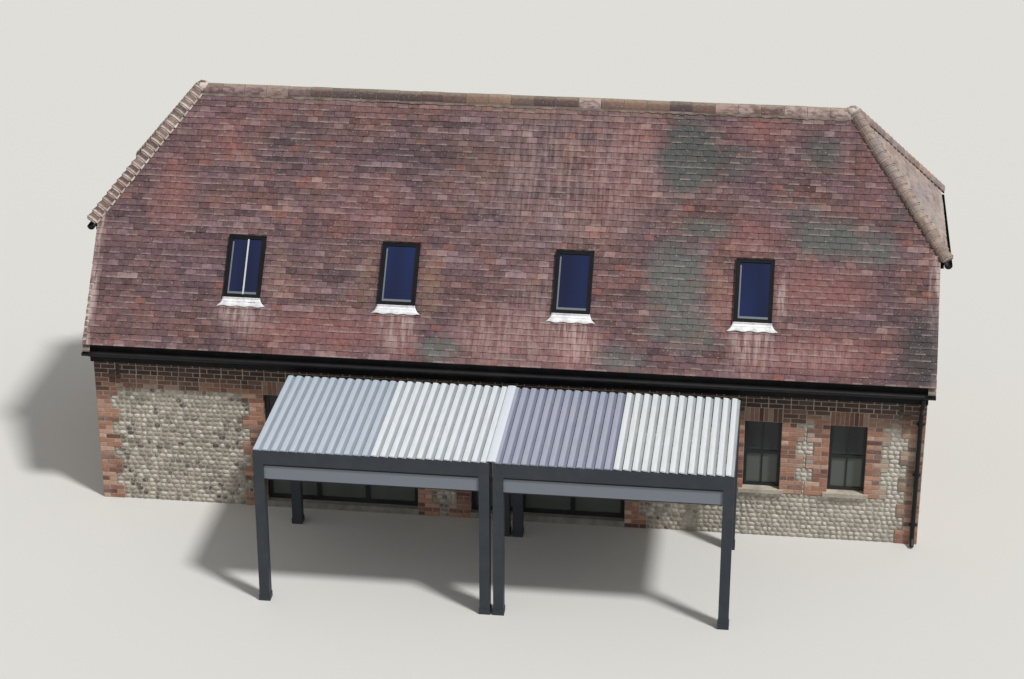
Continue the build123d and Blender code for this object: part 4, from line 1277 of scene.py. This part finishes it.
def rooflight_trim():
    """The flashing that frames each rooflight, the rails inside, and the bar of the first one."""
    cladding, rails, bar = Heap(), Heap(), Heap()
    face = SLOPES["front"]
    outer, inner = 14 * MM, 8 * MM
    for left, right in ROOFLIGHTS:
        for near, far, bottom in ((left - outer, left + inner, ROOFLIGHT_FOOT),
                                  (right - inner, right + outer, ROOFLIGHT_FOOT),
                                  (left - outer, right + outer, ROOFLIGHT_TOP - inner)):
            cladding.add_block(face, near, far, bottom, ROOFLIGHT_TOP + outer, -20 * MM, 50 * MM)
    make_piece("rooflight_cladding", cladding, rooflight_coat)
    foot = ROOFLIGHT_FOOT + 52 * MM
    for left, right in ROOFLIGHTS:
        left += 50 * MM
        rails.add_block(face, left, right - 50 * MM, foot, foot + 34 * MM, 24 * MM, 38 * MM)
        rails.add_block(face, left, left + BAR_WIDTH, foot, ROOFLIGHT_TOP - 90 * MM, 24 * MM, 34 * MM)
    make_piece("rooflight_rails", rails, rail_metal)
    # The first rooflight's bar takes the pale coat as a painted highlight
    middle = sum(ROOFLIGHTS[0]) / 2 + 20 * MM
    bar.add_block(face, middle - BAR_WIDTH / 2, middle + BAR_WIDTH / 2, ROOFLIGHT_FOOT + 48 * MM,
                  ROOFLIGHT_TOP - 48 * MM, 26 * MM, 40 * MM)
    make_piece("rooflight_glazing_bar", bar, joint_coat)


def gutter_fittings():
    """Brackets round the gutters and collars on the downpipes."""
    heap = Heap()
    for side in LONG_SIDES:
        low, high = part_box(side + "_gutter")
        radius = (high.y - low.y) / 2
        count = int((high.x - low.x) / BRACKET_SPACING)
        for number in range(count + 1):
            place = low.x + BRACKET_INSET + (high.x - low.x - 2 * BRACKET_INSET) * number / count
            heap.add_rings([half_ring(Vector((along, (low.y + high.y) / 2, high.z)), ACROSS, UP,
                                      radius + 5 * MM, radius + 0.5 * MM, start=math.pi)
                            for along in (place - 12 * MM, place + 12 * MM)])
    turns = [2 * math.pi * step / COLLAR_SIDES for step in range(COLLAR_SIDES)]
    for low, high in solids("downpipes"):
        wall_face = WALLS["back" if low.y > 0 else "front"]
        radius = (high.x - low.x) / 2
        middle = (low.x + high.x) / 2
        centre = Vector((middle, 0, 0)) + wall_face.out * (BRICK_FRONT + 20 * MM + radius)
        across = middle * wall_face.along.x
        for height in COLLAR_HEIGHTS:
            heap.add_rings([[Vector((centre.x + (radius + 5 * MM) * math.cos(turn),
                                     centre.y + (radius + 5 * MM) * math.sin(turn), level))
                             for turn in turns] for level in (height - 22 * MM, height + 22 * MM)])
            heap.add_block(wall_face, across - 60 * MM, across + 60 * MM, height - 16 * MM,
                           height + 16 * MM, BRICK_STAND, BRICK_STAND + 24 * MM)
    make_piece("gutter_brackets", heap, black_metal)


def canopy():
    """The covers of the canopy's feet, and its blind and joint trim."""
    plates, slots, rails, cover = Heap(), Heap(), Heap(), Heap()
    front = WALLS["front"]
    for side in ("left", "right"):
        for low, high in solids(side + "_canopy_posts"):
            ground = Face(((low.x + high.x) / 2, (low.y + high.y) / 2, 0), (1, 0, 0), (0, 1, 0))
            half = (high.x - low.x) / 2
            outer = half + 8 * MM
            for edges in ((-outer, -half, -outer, outer), (half, outer, -outer, outer),
                          (-half, half, -outer, -half), (-half, half, half, outer)):
                plates.add_block(ground, *edges, 0.0, POST_COVER_HEIGHT)
    make_piece("post_foot_covers", plates, canopy_coat)
    # Black strips along the top of each blind box: painted shade in the gap between beam and box
    for side in ("left", "right"):
        low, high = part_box(side + "_canopy_blind_box")
        near = -low.y + front.origin.y
        slots.add_block(front, low.x, high.x, high.z - 34 * MM, high.z - 2 * MM, near - 30 * MM,
                        near + 3 * MM)
        rails.add_block(front, low.x + 4 * MM, high.x - 4 * MM, low.z - 28 * MM, low.z + 6 * MM,
                        near - 70 * MM, near - 24 * MM)
    low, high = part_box("canopy_joint_strip")
    near = -low.y + front.origin.y
    slots.add_block(front, low.x + 1 * MM, high.x - 1 * MM, low.z + 1 * MM, high.z - 6 * MM,
                    near - 1 * MM, near + 3 * MM)
    # The cover's section, in millimetres from the middle and the top of the strip
    section = [(-64, -10), (-60, -2), (-25, 4), (25, 4), (60, -2), (64, -10), (61, -10), (57, -5),
               (25, 1), (-25, 1), (-57, -5), (-61, -10)]
    middle = (low.x + high.x) / 2
    cover.add_rings([[Vector((middle + across * MM, y, high.z + rise * MM)) for across, rise in section]
                     for y in (low.y + 2 * MM, high.y - 2 * MM)])
    make_piece("canopy_joint_cover", cover, cover_coat)
    make_piece("blind_slots", slots, black_metal)
    make_piece("blind_bottom_rails", rails, canopy_coat)


def point_along(made, direction):
    """Turn a camera or a lamp so that it looks along a direction."""
    made.rotation_euler = direction.to_track_quat("-Z", "Y").to_euler()


def aim_camera():
    """The camera at the photograph's place, turned to the barn's middle, with a lens that fills
    the frame."""
    camera_data = bpy.data.cameras.new("camera")
    camera_data.lens = FOCAL_LENGTH
    camera = new_object("camera", camera_data)
    camera.location = CAMERA_PLACE
    point_along(camera, Vector(CAMERA_AIM) - camera.location)
    bpy.context.scene.camera = camera


def stage():
    """A pale floor under an even white background, with one large soft lamp and a bright sky."""
    floor_mesh = bpy.data.meshes.new("floor")
    corners = [(x * FLOOR_REACH, y * FLOOR_REACH, 0) for x, y in ((-1, -1), (1, -1), (1, 1), (-1, 1))]
    floor_mesh.from_pydata(corners, [], [(0, 1, 2, 3)])
    floor = new_object("floor", floor_mesh)
    floor.location.z = -FLOOR_DROP
    material, tree = new_material("pale_floor", Roughness=0.9, Specular_IOR_Level=0.2)
    looking = add_node(tree, "LightPath").outputs["Is Camera Ray"]
    fill(tree.nodes["Principled BSDF"].inputs["Base Color"],
         add_node(tree, "Mix", looking, "#b4b2ae", "#dcdad5"))
    floor_mesh.materials.append(material)

    world = bpy.data.worlds.new("studio")
    bpy.context.scene.world = world
    world.use_nodes = True
    sky = world.node_tree
    path = add_node(sky, "LightPath").outputs
    seen = add_node(sky, "Math", path["Is Camera Ray"], path["Is Glossy Ray"], operation="MAXIMUM")
    seen = add_node(sky, "Math", seen, path["Is Transmission Ray"], operation="MAXIMUM")
    background = sky.nodes["Background"]
    fill(background.inputs["Color"], add_node(sky, "Mix", seen, "#ffffff", "#dfddd8"))
    fill(background.inputs["Strength"], add_node(sky, "MapRange", seen, 0.0, 1.0, SKY_STRENGTH, 1.0))

    lamp_data = bpy.data.lights.new("key", "SUN")
    lamp_data.energy = LAMP_STRENGTH
    lamp_data.angle = LAMP_WIDTH
    point_along(new_object("key", lamp_data), Vector(LAMP_DIRECTION))


solid_finishes()
roof_tiles()
ridge()
bonnets()
apex_mortar()
verge_mortar()
walls()
window_fittings()
aprons()
rooflight_trim()
gutter_fittings()
canopy()
aim_camera()
stage()
bpy.context.scene.view_settings.view_transform = "Standard"
